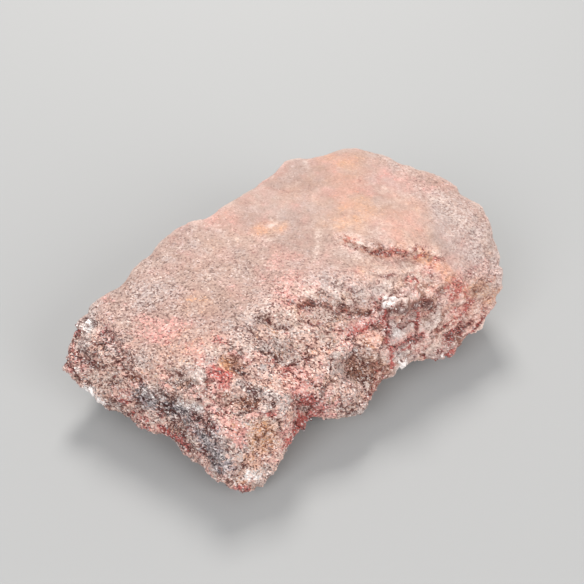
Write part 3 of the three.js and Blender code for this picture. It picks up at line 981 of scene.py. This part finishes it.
    def cracks(self, points: np.ndarray) -> np.ndarray:
        """Finds the cracks, which run round some of the larger blocks.

        Args:
            points: Points in millimetres.

        Returns:
            1 in a crack and 0 away from it.
        """
        open_share = open_ground(points)
        found = np.zeros(len(points))
        for turn, size in enumerate(self.block_sizes[:2]):
            gap = smoothstep(0.55, 0.1, self.broken(points, turn, size).edge)
            found = np.maximum(found, gap * smoothstep(-0.1, 0.35, cloud(points, 5, 101 + turn)))
        return found * open_share

    def roughen(self, mesh: bpy.types.Mesh) -> None:
        """Gives the skin its cracks and its sugary grain.

        Args:
            mesh: The broken-up skin.
        """
        points = MeshWork.points(mesh)
        normals = MeshWork.normals(mesh)
        share = self.relief_share(points)
        height = -self.crack_depth * self.cracks(points)
        for turn, size in enumerate(self.grit_sizes):
            place = along_grain(points, self.grit_stretch)
            height += share * blocks(place, size, self.grit_rise, self.grit_tilt, 21 + 3 * turn).height
        height += self.sugar * (2 * hashed(np.round(points * 50), 29)[:, 0] - 1) * (0.4 + 0.6 * share)
        free = smoothstep(0.0, 1.2, points[:, 2])
        moved = points + normals * (height * free)[:, None]
        moved[:, 2] = np.maximum(moved[:, 2], 0)
        MeshWork.move(mesh, moved)

    def stain(self, mesh: bpy.types.Mesh) -> None:
        """Works out where each mineral shows and stores it on the mesh.

        Args:
            mesh: The finished skin.
        """
        points = MeshWork.points(mesh)
        self.rough = open_ground(points)
        self.small_end = on_small_end(points, -29)
        wide_relief = MeshWork.relief(mesh, 30)
        hollow = self.hollows(points, MeshWork.relief(mesh, 3), wide_relief)
        lots = [self.broken(points, turn, size).lot for turn, size in enumerate(self.block_sizes)]
        self.lay_stains(points, lots[-1])
        self.lay_drifts(points)
        self.fill_hollows(points, hollow)
        self.fill_seams(points)
        self.tint_blocks(lots[1:])
        pepper = self.pepper.over(points) * (1 - 0.6 * self.masks[Mineral.ROSE])
        # More dark grains gather in the hollows: partly dirt, partly painted shade.
        pepper += 0.3 * hollow + 0.32 * self.masks[Mineral.METACINNABAR]
        shades = {
            # How far each vertex is darkened as a hollow, partly dirt and partly painted shade; red keeps
            # more.
            "hollow": hollow * (1 - 0.5 * self.masks[Mineral.CINNABAR]),
            # How far each vertex is lightened as a crest, partly wear and partly painted light.
            "crest": smoothstep(0.08, 0.6, wide_relief),
            "pepper": pepper,
            "fresh": self.rough,
            "calm": self.calm(points),
        }
        shades |= {mineral.value: mask for mineral, mask in self.masks.items()}
        for name, values in shades.items():
            MeshWork.write(mesh, name, values)

    def hollows(self, points: np.ndarray, near_relief: np.ndarray, wide_relief: np.ndarray) -> np.ndarray:
        """Finds the hollows and cracks, where dark grime and red dust gather and where shade is painted.

        Args:
            points: The skin's vertices in millimetres.
            near_relief: How far each vertex stands over the surface close round it.
            wide_relief: How far it stands over the surface further round it.

        Returns:
            A share for each vertex, near 1 deep in a hollow.
        """
        small = self.small_dirt_and_shade * smoothstep(0.05, 0.25, -near_relief)
        large = self.large_dirt_and_shade * smoothstep(0.1, 0.6, -wide_relief)
        return np.maximum(1 - (1 - small) * (1 - large), self.crack_dirt_and_shade * self.cracks(points))

    def calm(self, points: np.ndarray) -> np.ndarray:
        """Finds the worn ground, where the grain hardly shows: most of it is the far part of the top.

        Args:
            points: The skin's vertices in millimetres.

        Returns:
            A share for each vertex.
        """
        far = smoothstep(-14, 18, 0.8 * points[:, 0] + 0.6 * points[:, 1])
        worn_top = 0.15 + 0.58 * far * (1 - 0.6 * smoothstep(31, 39, points[:, 0]))
        worn_side = 0.45 * smoothstep(0, 10, points[:, 0])
        worn = (1 - self.rough) * worn_top + self.rough * worn_side
        return worn * (1 - np.maximum(self.masks[Mineral.CINNABAR], self.masks[Mineral.METACINNABAR]))

    def lay_stains(self, points: np.ndarray, lot: np.ndarray) -> None:
        """Lays the stains that have a place of their own. The strong ones are less patchy than the faint.

        Args:
            points: The skin's vertices in millimetres.
            lot: The random number of each vertex's smallest block, which moves the stains' edges.
        """
        ragged = points + 0.8 * sway(points, 2.2, 91)
        patchwork = 0.55 + 0.45 * smoothstep(-0.5, 0.3, cloud(points, 2.4, 97))
        wander = 0.3 * self.rough * (lot - 0.5)
        for mineral in Mineral:
            clear = np.ones(len(points))
            for stain in (s for s in STAINS if s.mineral is mineral):
                distance = near(ragged, stain.path).distance / stain.reach + wander
                broken_up = patchwork ** (2 - 2 * stain.strength)
                clear *= 1 - stain.strength * broken_up * smoothstep(1.6, 0.3, distance)
            self.masks[mineral] = 1 - clear

    def lay_drifts(self, points: np.ndarray) -> None:
        """Lays the soft clouds of colour, the specks of quartz and the pale streaks of the top.

        Args:
            points: The skin's vertices in millimetres.
        """
        for drift in DRIFTS:
            place = along_grain(points, drift.stretch) if drift.stretch else points
            swell = cloud(place, drift.size, drift.seed)
            shown = smoothstep(drift.low, drift.high, -swell if drift.gaps else swell)
            self.add(drift.mineral, (drift.base + drift.rough * self.rough) * shown)
        specks = 0.04 + 0.10 * smoothstep(0.3, 0.9, cloud(points, 1.6, 87))
        self.add(Mineral.QUARTZ, (0.2 + 0.8 * self.rough) * specks)
        streaks = smoothstep(0.14, 0.02, np.abs(cloud(points, 5.5, 141)))
        in_places = smoothstep(-0.2, 0.4, cloud(points, 9, 143))
        self.add(Mineral.MILKY, 0.30 * (1 - self.rough) * streaks * in_places)
        self.add(Mineral.METACINNABAR, 0.04 * self.rough)

    def fill_hollows(self, points: np.ndarray, hollow: np.ndarray) -> None:
        """Lets red and brown gather in the hollows of the broken ground, and red in faint veins.

        Args:
            points: The skin's vertices in millimetres.
            hollow: The share of hollow at each vertex.
        """
        veined = cloud(along_grain(points), 3.4, 67)
        self.add(Mineral.CINNABAR, self.rough * (0.14 * smoothstep(0.1, 0.7, veined) + 0.22 * hollow))
        self.add(Mineral.UMBER, self.rough * 0.20 * hollow * smoothstep(-0.2, 0.5, -veined))

    def fill_seams(self, points: np.ndarray) -> None:
        """Fills the seams between the blocks of the right-hand side with red and brown.

        Args:
            points: The skin's vertices in millimetres.
        """
        seam = smoothstep(0.7, 0.15, self.broken(points, 1, self.block_sizes[1]).edge)
        seam *= smoothstep(6, 14, points[:, 0]) * self.rough
        self.add(Mineral.CINNABAR, 0.8 * seam * smoothstep(-0.1, 0.4, cloud(points, 3.0, 121)))
        self.add(Mineral.UMBER, 0.9 * seam * smoothstep(-0.1, 0.3, cloud(points, 2.5, 123)))

    def tint_blocks(self, lots: Sequence[np.ndarray]) -> None:
        """Colours whole blocks with one mineral each.

        Args:
            lots: The random number of each vertex's block, for each size of block that is coloured.
        """
        tinted = 0.25 + 0.75 * self.rough
        for lot in lots:
            for tint in BLOCK_TINTS:
                self.add(tint.mineral, tint.strength * tinted * ((lot >= tint.low) & (lot < tint.high)))

    def seats(self, mineral: Mineral) -> np.ndarray:
        """How likely a grain of a mineral stands at each vertex: often in its stains, seldom elsewhere.

        Args:
            mineral: The grain's mineral.

        Returns:
            A weight for each vertex.
        """
        elsewhere = {Mineral.QUARTZ: 0.12, Mineral.CINNABAR: 0.03, Mineral.METACINNABAR: 0.08}[mineral]
        beside_dark = 0.5 * self.masks[Mineral.METACINNABAR] if mineral is Mineral.QUARTZ else 0
        crowded = 1 + 2.5 * self.small_end
        return (self.masks[mineral] + beside_dark + elsewhere) * crowded * self.rough**2 + 0.004

    def add(self, mineral: Mineral, mask: np.ndarray) -> None:
        """Lays more of a mineral over its mask."""
        self.masks[mineral] = 1 - (1 - self.masks[mineral]) * (1 - mask)


CRYSTAL_TIPS = ((1, 0, 0), (0, 1, 0), (-1, 0, 0), (0, -1, 0), (0, 0, 1), (0, 0, -1))
CRYSTAL_FACES = ((0, 1, 4), (1, 2, 4), (2, 3, 4), (3, 0, 4), (1, 0, 5), (2, 1, 5), (3, 2, 5), (0, 3, 5))


@dataclass
class Crystals:
    """Loose-looking grains of one mineral that are set into the skin, joined in one mesh.

    smallest and largest are the widths of the grains in millimetres, and favour_small makes large ones
    seldom. sunk is how deep their middles lie, as a share of their width, and chip_sunk is that of the
    chips, the larger grains that have a place of their own, each with its width after its place. reach is
    how far a grain's tips may lie from its middle and unevenness is how far they stray, both as shares of
    half its width, and clearance keeps its middle over the floor.
    """

    name: str
    mineral: Mineral
    count: int
    smallest: float
    largest: float
    seed: int
    sunk: float = 0.4
    chip_sunk: float = 0.28
    favour_small: float = 2.2
    reach: tuple[float, float] = (0.6, 1.25)
    unevenness: float = 0.12
    clearance: float = 0.75
    chips: tuple[tuple[Point, float], ...] = ()

    def build(self, skin: bpy.types.Object, wanted: np.ndarray) -> bpy.types.Object:
        """Sets the grains at random vertices of the skin.

        Args:
            skin: The finished skin.
            wanted: How likely a grain is at each vertex of the skin.

        Returns:
            The grains, without their material.
        """
        lots = np.random.default_rng(self.seed)
        at = lots.choice(len(wanted), self.count, replace=False, p=wanted / wanted.sum())
        points = MeshWork.points(skin.data)
        for turn, (place, _) in enumerate(self.chips):
            at[turn] = np.argmin(np.linalg.norm(points - place, axis=1))
        normals = MeshWork.normals(skin.data)[at]
        widths = self.smallest + (self.largest - self.smallest) * lots.random(self.count) ** self.favour_small
        sunk = np.full(self.count, self.sunk)
        widths[:len(self.chips)] = [width for _, width in self.chips]
        sunk[:len(self.chips)] = self.chip_sunk
        shape = np.array(CRYSTAL_TIPS, float)[None] * lots.uniform(*self.reach, (self.count, 6, 1))
        shape += lots.normal(0, self.unevenness, (self.count, 6, 3))
        turned = np.einsum("nij,nkj->nki", self.turns(lots), shape) * widths[:, None, None] / 2
        centres = points[at] - normals * (sunk * widths)[:, None]
        centres[:, 2] = np.maximum(centres[:, 2], self.clearance * widths)
        corners = (centres[:, None] + turned).reshape(-1, 3)
        faces = (np.array(CRYSTAL_FACES)[None] + 6 * np.arange(self.count)[:, None, None]).reshape(-1, 3)
        mesh = bpy.data.meshes.new(self.name)
        mesh.from_pydata((corners * MM).tolist(), [], faces.tolist())
        MeshWork.write(mesh, "tone", np.repeat(lots.random(self.count), 6))
        grains = bpy.data.objects.new(self.name, mesh)
        bpy.context.scene.collection.objects.link(grains)
        LOG.info("%s: %d grains", self.name, self.count)
        return grains

    def turns(self, lots: np.random.Generator) -> np.ndarray:
        """Draws a random turn for each grain.

        Args:
            lots: The source of random numbers.

        Returns:
            One rotation matrix for each grain.
        """
        made, _ = np.linalg.qr(lots.normal(size=(self.count, 3, 3)))
        return made * np.sign(np.linalg.det(made))[:, None, None]


class Wiring:
    """A node tree that is being wired.

    A Mix node has sockets for numbers, vectors and colours under the same names, so they are told apart
    by their place.
    """

    numbers_at = (2, 3)
    colours_at = (6, 7)

    def __init__(self, tree: bpy.types.NodeTree) -> None:
        """Keeps the tree to add nodes to."""
        self.tree = tree

    def add(self, kind: str, **settings: object) -> bpy.types.Node:
        """Adds a node.

        Args:
            kind: The node's type.
            settings: The node's settings by name.

        Returns:
            The new node.
        """
        node = self.tree.nodes.new(kind)
        for name, value in settings.items():
            setattr(node, name, value)
        return node

    def feed(self, socket: bpy.types.NodeSocket, source: object) -> None:
        """Links a socket to another one, or sets its value.

        Args:
            socket: The socket to feed.
            source: Another socket, or a value.
        """
        if isinstance(source, bpy.types.NodeSocket):
            self.tree.links.new(source, socket)
        else:
            socket.default_value = source

    def worked_out(self, kind: str, operation: str, sources: Sequence[object]) -> bpy.types.NodeSocket:
        """Adds a node that works out one value.

        Args:
            kind: The node's type.
            operation: What the node does.
            sources: Sockets or values, in order.

        Returns:
            The node's result.
        """
        node = self.add(kind, operation=operation)
        for socket, source in zip(node.inputs, sources):
            self.feed(socket, source)
        return node.outputs[0]

    def math(self, operation: str, *sources: object) -> bpy.types.NodeSocket:
        """Works out a number from other sockets or numbers."""
        return self.worked_out("ShaderNodeMath", operation, sources)

    def vectors(self, operation: str, *sources: object) -> bpy.types.NodeSocket:
        """Works out a vector from other sockets or vectors."""
        return self.worked_out("ShaderNodeVectorMath", operation, sources)

    def mix(self, share: object, first: object, second: object) -> bpy.types.NodeSocket:
        """Mixes two colours.

        Args:
            share: The share of the second colour.
            first: A colour or socket.
            second: A colour or socket.

        Returns:
            The mixed colour.
        """
        node = self.add("ShaderNodeMix", data_type="RGBA")
        self.feed(node.inputs["Factor"], share)
        for place, source in zip(self.colours_at, (first, second)):
            self.feed(node.inputs[place], (*source, 1) if isinstance(source, tuple) else source)
        return node.outputs[2]

    def blend(self, share: object, first: object, second: object) -> bpy.types.NodeSocket:
        """Mixes two numbers.

        Args:
            share: The share of the second number.
            first: A number or socket.
            second: A number or socket.

        Returns:
            The mixed number.
        """
        node = self.add("ShaderNodeMix", data_type="FLOAT")
        self.feed(node.inputs["Factor"], share)
        for place, source in zip(self.numbers_at, (first, second)):
            self.feed(node.inputs[place], source)
        return node.outputs[0]

    def cells(self, place: object, scale: object) -> tuple[bpy.types.Node, list[bpy.types.NodeSocket]]:
        """Fills space with cells, each with random numbers of its own.

        Args:
            place: The socket of the place to look at.
            scale: How many cells there are to a unit of it.

        Returns:
            The cells' node, and each cell's three random numbers.
        """
        node = self.add("ShaderNodeTexVoronoi", voronoi_dimensions="3D", feature="F1")
        self.feed(node.inputs["Vector"], place)
        self.feed(node.inputs["Scale"], scale)
        split = self.add("ShaderNodeSeparateColor")
        self.feed(split.inputs[0], node.outputs["Color"])
        return node, list(split.outputs)

    def attribute(self, name: str) -> bpy.types.NodeSocket:
        """Reads one number that the mesh holds for each vertex."""
        return self.add("ShaderNodeAttribute", attribute_name=name).outputs["Fac"]


NUMBER = "NodeSocketFloat"
VECTOR = "NodeSocketVector"

# Times this, a grain's tone gives a fraction that has nothing to do with the tone.
GLINT_SCATTER = 37.0


def opened_group(
    name: str, inputs: dict[str, tuple[str, float]], outputs: dict[str, str]
) -> tuple[Wiring, bpy.types.Node, bpy.types.Node]:
    """Starts a shader node group.

    Args:
        name: The group's name.
        inputs: Each input's socket type and value.
        outputs: Each output's socket type.

    Returns:
        The wiring, the node with the inputs, and the node that takes the outputs.
    """
    tree = bpy.data.node_groups.new(name, "ShaderNodeTree")
    for label, (kind, value) in inputs.items():
        tree.interface.new_socket(label, in_out="INPUT", socket_type=kind).default_value = value
    for label, kind in outputs.items():
        tree.interface.new_socket(label, in_out="OUTPUT", socket_type=kind)
    wiring = Wiring(tree)
    return wiring, wiring.add("NodeGroupInput"), wiring.add("NodeGroupOutput")


@dataclass(frozen=True)
class SugaryGrain:
    """The grain of the quartz: small cells, each with a tone, a pick and a spark of its own.

    lean turns the grain out of the level, in radians, and stretch is how much longer than wide it is.
    Clusters of grains share some of their traits, and cluster_scale is a grain's width over a cluster's. The
    share of dark grains is the pepper times crowding, and up to crowding_spread more in some clusters. The
    tones are those of the darkest pale grain, what is added up to the palest one and by its cluster, and the
    palest dark grain. own_pick is how much of a grain's pick is its own, and glint_share is the share of the
    grains that glint.
    """

    lean: tuple[float, float] = (0.4, 0.3)
    stretch: float = 1.4
    cluster_scale: float = 0.36
    crowding: float = 0.55
    crowding_spread: float = 0.9
    pale_tone: float = 0.37
    pale_spread: float = 0.66
    cluster_tone: float = 0.12
    dark_tone: float = 0.25
    own_pick: float = 0.6
    glint_share: float = 0.1

    def group(self) -> bpy.types.NodeTree:
        """Builds the grain's node group.

        Returns:
            The group. Its tone is 0 on a dark grain and near 1 on a pale one, its pick chooses the grain's
            mineral, its spark is 1 on the few grains that glint, and its height is for a bump.
        """
        wiring, given, made = opened_group(
            "sugary_grain",
            {"Grain Width": (NUMBER, 0.3), "Pepper": (NUMBER, 0.2), "Facets": (NUMBER, 0.5)},
            {"Tone": NUMBER, "Pick": NUMBER, "Spark": NUMBER, "Height": NUMBER, "Normal": VECTOR},
        )
        turned = wiring.add("ShaderNodeMapping", vector_type="TEXTURE")
        wiring.feed(turned.inputs["Vector"], wiring.add("ShaderNodeTexCoord").outputs["Object"])
        wiring.feed(turned.inputs["Rotation"], (*self.lean, GRAIN_HEADING))
        wiring.feed(turned.inputs["Scale"], (self.stretch * MM, MM, MM))
        density = wiring.math("DIVIDE", 1.0, given.outputs["Grain Width"])
        sparse = wiring.math("MULTIPLY", density, self.cluster_scale)
        fine, (fine_dark, fine_tone, fine_pick) = wiring.cells(turned.outputs[0], density)
        _, (wide_dark, wide_tone, wide_pick) = wiring.cells(turned.outputs[0], sparse)
        crowding = wiring.math("MULTIPLY_ADD", wide_dark, self.crowding_spread, self.crowding)
        is_pale = wiring.math(
            "GREATER_THAN", fine_dark, wiring.math("MULTIPLY", given.outputs["Pepper"], crowding))
        pale = wiring.math("MULTIPLY_ADD", fine_tone, self.pale_spread, self.pale_tone)
        pale = wiring.math("MULTIPLY_ADD", wide_tone, self.cluster_tone, pale)
        dark = wiring.math("MULTIPLY", fine_tone, self.dark_tone)
        wiring.feed(made.inputs["Tone"], wiring.blend(is_pale, dark, pale))
        shared_pick = wiring.math("MULTIPLY", wide_pick, 1 - self.own_pick)
        wiring.feed(made.inputs["Pick"], wiring.math("MULTIPLY_ADD", fine_pick, self.own_pick, shared_pick))
        glint = wiring.math("FRACT", wiring.math("MULTIPLY", fine_tone, GLINT_SCATTER))
        wiring.feed(made.inputs["Spark"], wiring.math("GREATER_THAN", glint, 1 - self.glint_share))
        wiring.feed(made.inputs["Height"], wiring.math("SUBTRACT", fine_pick, fine.outputs["Distance"]))
        lean = wiring.vectors("SUBTRACT", fine.outputs["Color"], (0.5, 0.5, 0.5))
        lean = wiring.vectors("MULTIPLY", lean, given.outputs["Facets"])
        facet = wiring.vectors("ADD", wiring.add("ShaderNodeNewGeometry").outputs["Normal"], lean)
        wiring.feed(made.inputs["Normal"], wiring.vectors("NORMALIZE", facet))
        return wiring.tree


def pick_group() -> bpy.types.NodeTree:
    """Builds the choice of grains: a grain is of a mineral where the mineral's mask is over the grain's pick.

    Where the ground is soft, the mineral tints all the grains alike instead.

    Returns:
        The group, which puts out the mineral's share.
    """
    wiring, given, made = opened_group(
        "grain_choice",
        {"Mask": (NUMBER, 0.0), "Pick": (NUMBER, 0.5), "Soft": (NUMBER, 0.0)},
        {"Share": NUMBER},
    )
    crisp = wiring.add("ShaderNodeMapRange")
    wiring.feed(crisp.inputs["Value"], wiring.math("SUBTRACT", given.outputs["Mask"], given.outputs["Pick"]))
    wiring.feed(crisp.inputs["From Min"], -0.12)
    wiring.feed(crisp.inputs["From Max"], 0.12)
    faint = wiring.math("MULTIPLY", given.outputs["Mask"], 0.35)
    grainy = wiring.math("MAXIMUM", crisp.outputs[0], faint)
    wiring.feed(made.inputs["Share"], wiring.blend(given.outputs["Soft"], grainy, given.outputs["Mask"]))
    return wiring.tree


@dataclass
class StoneFinish:
    """The stone's own material and those of the crystals set in it.

    grain_width and bump_depth are in millimetres, even_tone is the tone of worn ground, shine is the
    shader's specular level, and crest_share is how much the crests are lightened, partly as wear and partly
    as painted light. facets is how far the grains' faces lean on old ground and glints is how bright the
    painted glints are there, and the two fresh ones are what freshly broken ground adds. pale_spared is
    how much less of the hollows' grime and painted shade the palest grains take. The crystals have
    crystal_pepper for their dark grains, and crystal_roughness as a share of their mineral's. grain and
    choice are the shared node groups.
    """

    grain_width: float = 0.28
    bump_depth: float = 0.12
    bump_strength: float = 0.7
    even_tone: float = 0.72
    shine: float = 0.3
    crest_share: float = 0.22
    facets: float = 0.5
    fresh_facets: float = 0.8
    glints: float = 0.17
    fresh_glints: float = 0.28
    pale_spared: float = 0.9
    crystal_pepper: float = 0.12
    crystal_roughness: float = 0.6
    grain: bpy.types.NodeTree = field(default_factory=SugaryGrain().group)
    choice: bpy.types.NodeTree = field(default_factory=pick_group)

    def opened(self, name: str) -> tuple[bpy.types.Material, Wiring, bpy.types.Node, bpy.types.Node]:
        """Starts a material that has the sugary grain.

        Args:
            name: The material's name.

        Returns:
            The material, its wiring, its shader and its grain node.
        """
        material = bpy.data.materials.new(name)
        material.use_nodes = True
        wiring = Wiring(material.node_tree)
        shader = material.node_tree.nodes["Principled BSDF"]
        grain = wiring.add("ShaderNodeGroup", node_tree=self.grain)
        wiring.feed(grain.inputs["Grain Width"], self.grain_width)
        bump = wiring.add("ShaderNodeBump")
        wiring.feed(bump.inputs["Strength"], self.bump_strength)
        wiring.feed(bump.inputs["Distance"], self.bump_depth * MM)
        wiring.feed(bump.inputs["Height"], grain.outputs["Height"])
        wiring.feed(bump.inputs["Normal"], grain.outputs["Normal"])
        wiring.feed(shader.inputs["Normal"], bump.outputs[0])
        return material, wiring, shader, grain

    def stone(self) -> bpy.types.Material:
        """The material of the skin.

        Returns:
            The material.
        """
        material, wiring, shader, grain = self.opened("stained_quartz")
        fresh = wiring.attribute("fresh")
        calm = wiring.attribute("calm")
        lively = wiring.math("MULTIPLY_ADD", calm, -1.0, 1.0)
        facets = wiring.math("MULTIPLY_ADD", fresh, self.fresh_facets, self.facets)
        wiring.feed(grain.inputs["Pepper"], wiring.attribute("pepper"))
        wiring.feed(grain.inputs["Facets"], wiring.math("MULTIPLY", lively, facets))
        tone = wiring.blend(calm, grain.outputs["Tone"], self.even_tone)
        pale = wiring.mix(fresh, WEATHERED.colour, FRESH.colour)
        deep = wiring.mix(fresh, WEATHERED.deep, FRESH.deep)
        colour = wiring.mix(tone, deep, pale)
        roughness = wiring.blend(fresh, WEATHERED.roughness, FRESH.roughness)
        metallic = 0.0
        for mineral, finish in FINISHES.items():
            choice = wiring.add("ShaderNodeGroup", node_tree=self.choice)
            wiring.feed(choice.inputs["Mask"], wiring.attribute(mineral.value))
            wiring.feed(choice.inputs["Pick"], grain.outputs["Pick"])
            wiring.feed(choice.inputs["Soft"], calm)
            share = choice.outputs["Share"]
            colour = wiring.mix(share, colour, wiring.mix(tone, finish.deep, finish.colour))
            roughness = wiring.blend(share, roughness, finish.roughness)
            metallic = wiring.blend(share, metallic, finish.metallic)
        # Painted light, partly wear: the crests are lightened.
        crest = wiring.math("MULTIPLY", wiring.attribute("crest"), self.crest_share)
        colour = wiring.mix(crest, colour, CREST_COLOUR)
        # Painted shade, partly dirt: the hollows and cracks are darkened, the palest grains least.
        dirt_and_shade = wiring.math("MULTIPLY_ADD", tone, -self.pale_spared, 1.0)
        dirt_and_shade = wiring.math("MULTIPLY", wiring.attribute("hollow"), dirt_and_shade)
        colour = wiring.mix(dirt_and_shade, colour, HOLLOW_DIRT_AND_SHADE_COLOUR)
        # Painted highlights: the few glinting grains are lightened, most on fresh ground.
        glints = wiring.math("MULTIPLY_ADD", fresh, self.fresh_glints, self.glints)
        bright = wiring.math("MULTIPLY", grain.outputs["Spark"], wiring.math("MULTIPLY", lively, glints))
        colour = wiring.mix(bright, colour, PAINTED_GLINT_COLOUR)
        wiring.feed(shader.inputs["Base Color"], colour)
        wiring.feed(shader.inputs["Roughness"], roughness)
        wiring.feed(shader.inputs["Metallic"], metallic)
        shader.inputs["Specular IOR Level"].default_value = self.shine
        return material

    def crystals(self, mineral: Mineral) -> bpy.types.Material:
        """The material of the grains of one mineral that stand out of the skin.

        Args:
            mineral: What the grains are.

        Returns:
            The material.
        """
        finish = FINISHES[mineral]
        material, wiring, shader, grain = self.opened(mineral.value + "_crystals")
        wiring.feed(grain.inputs["Pepper"], self.crystal_pepper)
        own_tone = wiring.math("MULTIPLY_ADD", wiring.attribute("tone"), 0.7, 0.4)
        tone = wiring.math("MULTIPLY", grain.outputs["Tone"], own_tone)
        wiring.feed(shader.inputs["Base Color"], wiring.mix(tone, finish.deep, finish.colour))
        wiring.feed(shader.inputs["Roughness"], self.crystal_roughness * finish.roughness)
        wiring.feed(shader.inputs["Metallic"], finish.metallic)
        return material


@dataclass(frozen=True)
class Lamp:
    """A soft square light: its place, its width and its power, in metres and watts."""

    name: str
    place: Point
    width: float
    power: float
    colour: Colour = (1.0, 1.0, 1.0)


@dataclass
class Studio:
    """The floor, the lights and the camera.

    Lengths are in metres. floor_reach is from the floor's middle to its edges, and sky is the strength of
    the light from all round.
    """

    floor_reach: float = 6.0
    floor_colour: Colour = (0.30, 0.30, 0.296)
    floor_roughness: float = 0.85
    sky: float = 0.6
    sky_colour: Colour = (0.97, 0.98, 1.0)
    camera_place: Point = (-0.07072, -0.09290, 0.14318)
    camera_target: Point = (0.00234, 0.00405, 0.013)
    field_of_view: float = math.radians(40)
    lamps: tuple[Lamp, ...] = (
        Lamp("key", (0.24, 0.40, 0.54), 0.20, 5.2, (1.0, 0.98, 0.96)),
        Lamp("fill", (-0.62, -0.18, 0.50), 0.50, 4.4, (0.98, 0.98, 1.0)),
        Lamp("front", (0.20, -0.70, 0.45), 0.50, 5.0),
    )

    def build(self) -> None:
        """Sets up all of it."""
        self.floor()
        self.light()
        self.camera()
        bpy.context.scene.view_settings.view_transform = "Standard"
        bpy.context.scene.view_settings.look = "None"

    def floor(self) -> None:
        """Lays a plain pale floor under the stone."""
        reach = self.floor_reach
        mesh = bpy.data.meshes.new("floor")
        corners = [(-reach, -reach, 0), (reach, -reach, 0), (reach, reach, 0), (-reach, reach, 0)]
        mesh.from_pydata(corners, [], [(0, 1, 2, 3)])
        floor = bpy.data.objects.new("floor", mesh)
        bpy.context.scene.collection.objects.link(floor)
        material = bpy.data.materials.new("pale_floor")
        material.use_nodes = True
        shader = material.node_tree.nodes["Principled BSDF"]
        shader.inputs["Base Color"].default_value = (*self.floor_colour, 1)
        shader.inputs["Roughness"].default_value = self.floor_roughness
        mesh.materials.append(material)

    def light(self) -> None:
        """Hangs the lamps, aimed at the stone, and a pale sky."""
        middle = (CAD_BOX[0] + CAD_BOX[1]) / 2
        for lamp in self.lamps:
            data = bpy.data.lights.new(lamp.name, "AREA")
            data.size = lamp.width
            data.energy = lamp.power
            data.color = lamp.colour
            light = bpy.data.objects.new(lamp.name, data)
            light.location = lamp.place
            light.rotation_euler = (middle - Vector(lamp.place)).to_track_quat("-Z", "Y").to_euler()
            bpy.context.scene.collection.objects.link(light)
        world = bpy.data.worlds.new("sky")
        world.use_nodes = True
        background = world.node_tree.nodes["Background"]
        background.inputs["Color"].default_value = (*self.sky_colour, 1)
        background.inputs["Strength"].default_value = self.sky
        bpy.context.scene.world = world

    def camera(self) -> None:
        """Stands the camera."""
        data = bpy.data.cameras.new("camera")
        data.lens = data.sensor_width / 2 / math.tan(self.field_of_view / 2)
        data.clip_start = 0.01
        camera = bpy.data.objects.new("camera", data)
        camera.location = self.camera_place
        way = Vector(self.camera_target) - Vector(self.camera_place)
        camera.rotation_euler = way.to_track_quat("-Z", "Y").to_euler()
        bpy.context.scene.collection.objects.link(camera)
        bpy.context.scene.camera = camera


# The larger quartz crystals: the place and the width of each.
QUARTZ_CHIPS = (
    ((11.3, -15.8, 21.5), 1.8), ((12.1, -16.7, 20.8), 1.6), ((13.0, -17.5, 20.3), 1.3),
    ((11.4, -24.6, 7.8), 3.4), ((10.4, -24.5, 7.0), 2.0), ((15.4, -24.2, 7.4), 1.3),
    ((-45.2, 9.7, 7.4), 3.0), ((-45.0, 8.2, 6.2), 2.5), ((-39.2, 18.6, 18.2), 1.6),
    ((-28.8, -25.0, 6.0), 1.9), ((-27.4, -25.1, 5.8), 1.5), ((-37.3, -2.1, 13.9), 1.3),
    ((-36.5, -3.5, 13.8), 1.1), ((-33.9, -7.9, 14.5), 1.3), ((-33.2, -10.6, 15.3), 1.2),
    ((-31.9, -13.2, 17.6), 1.2), ((20.3, -25.9, 7.2), 1.6), ((22.3, -26.2, 7.4), 1.4),
)

CRYSTALS = (
    Crystals("quartz_grains", Mineral.QUARTZ, 4600, 0.3, 0.65, 301, chips=QUARTZ_CHIPS),
    Crystals("cinnabar_grains", Mineral.CINNABAR, 2600, 0.3, 0.6, 302),
    Crystals("dark_grains", Mineral.METACINNABAR, 4200, 0.25, 0.6, 303),
)


def dress(piece: bpy.types.Object, material: bpy.types.Material) -> None:
    """Gives a piece its material and sets it on the stone's body.

    Args:
        piece: The piece.
        material: Its material.
    """
    piece.data.materials.clear()
    piece.data.materials.append(material)
    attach(piece, BODY)
    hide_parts(NODE)


def main() -> None:
    """Builds the studio, the skin and the crystals."""
    logging.basicConfig(level=logging.INFO, format="%(name)s: %(message)s")
    Studio().build()
    finish = StoneFinish()
    skin = Skin(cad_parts[NODE])
    stone = skin.build()
    dress(stone, finish.stone())
    for crystals in CRYSTALS:
        grains = crystals.build(stone, skin.seats(crystals.mineral))
        dress(grains, finish.crystals(crystals.mineral))


if __name__ == "__main__":
    main()
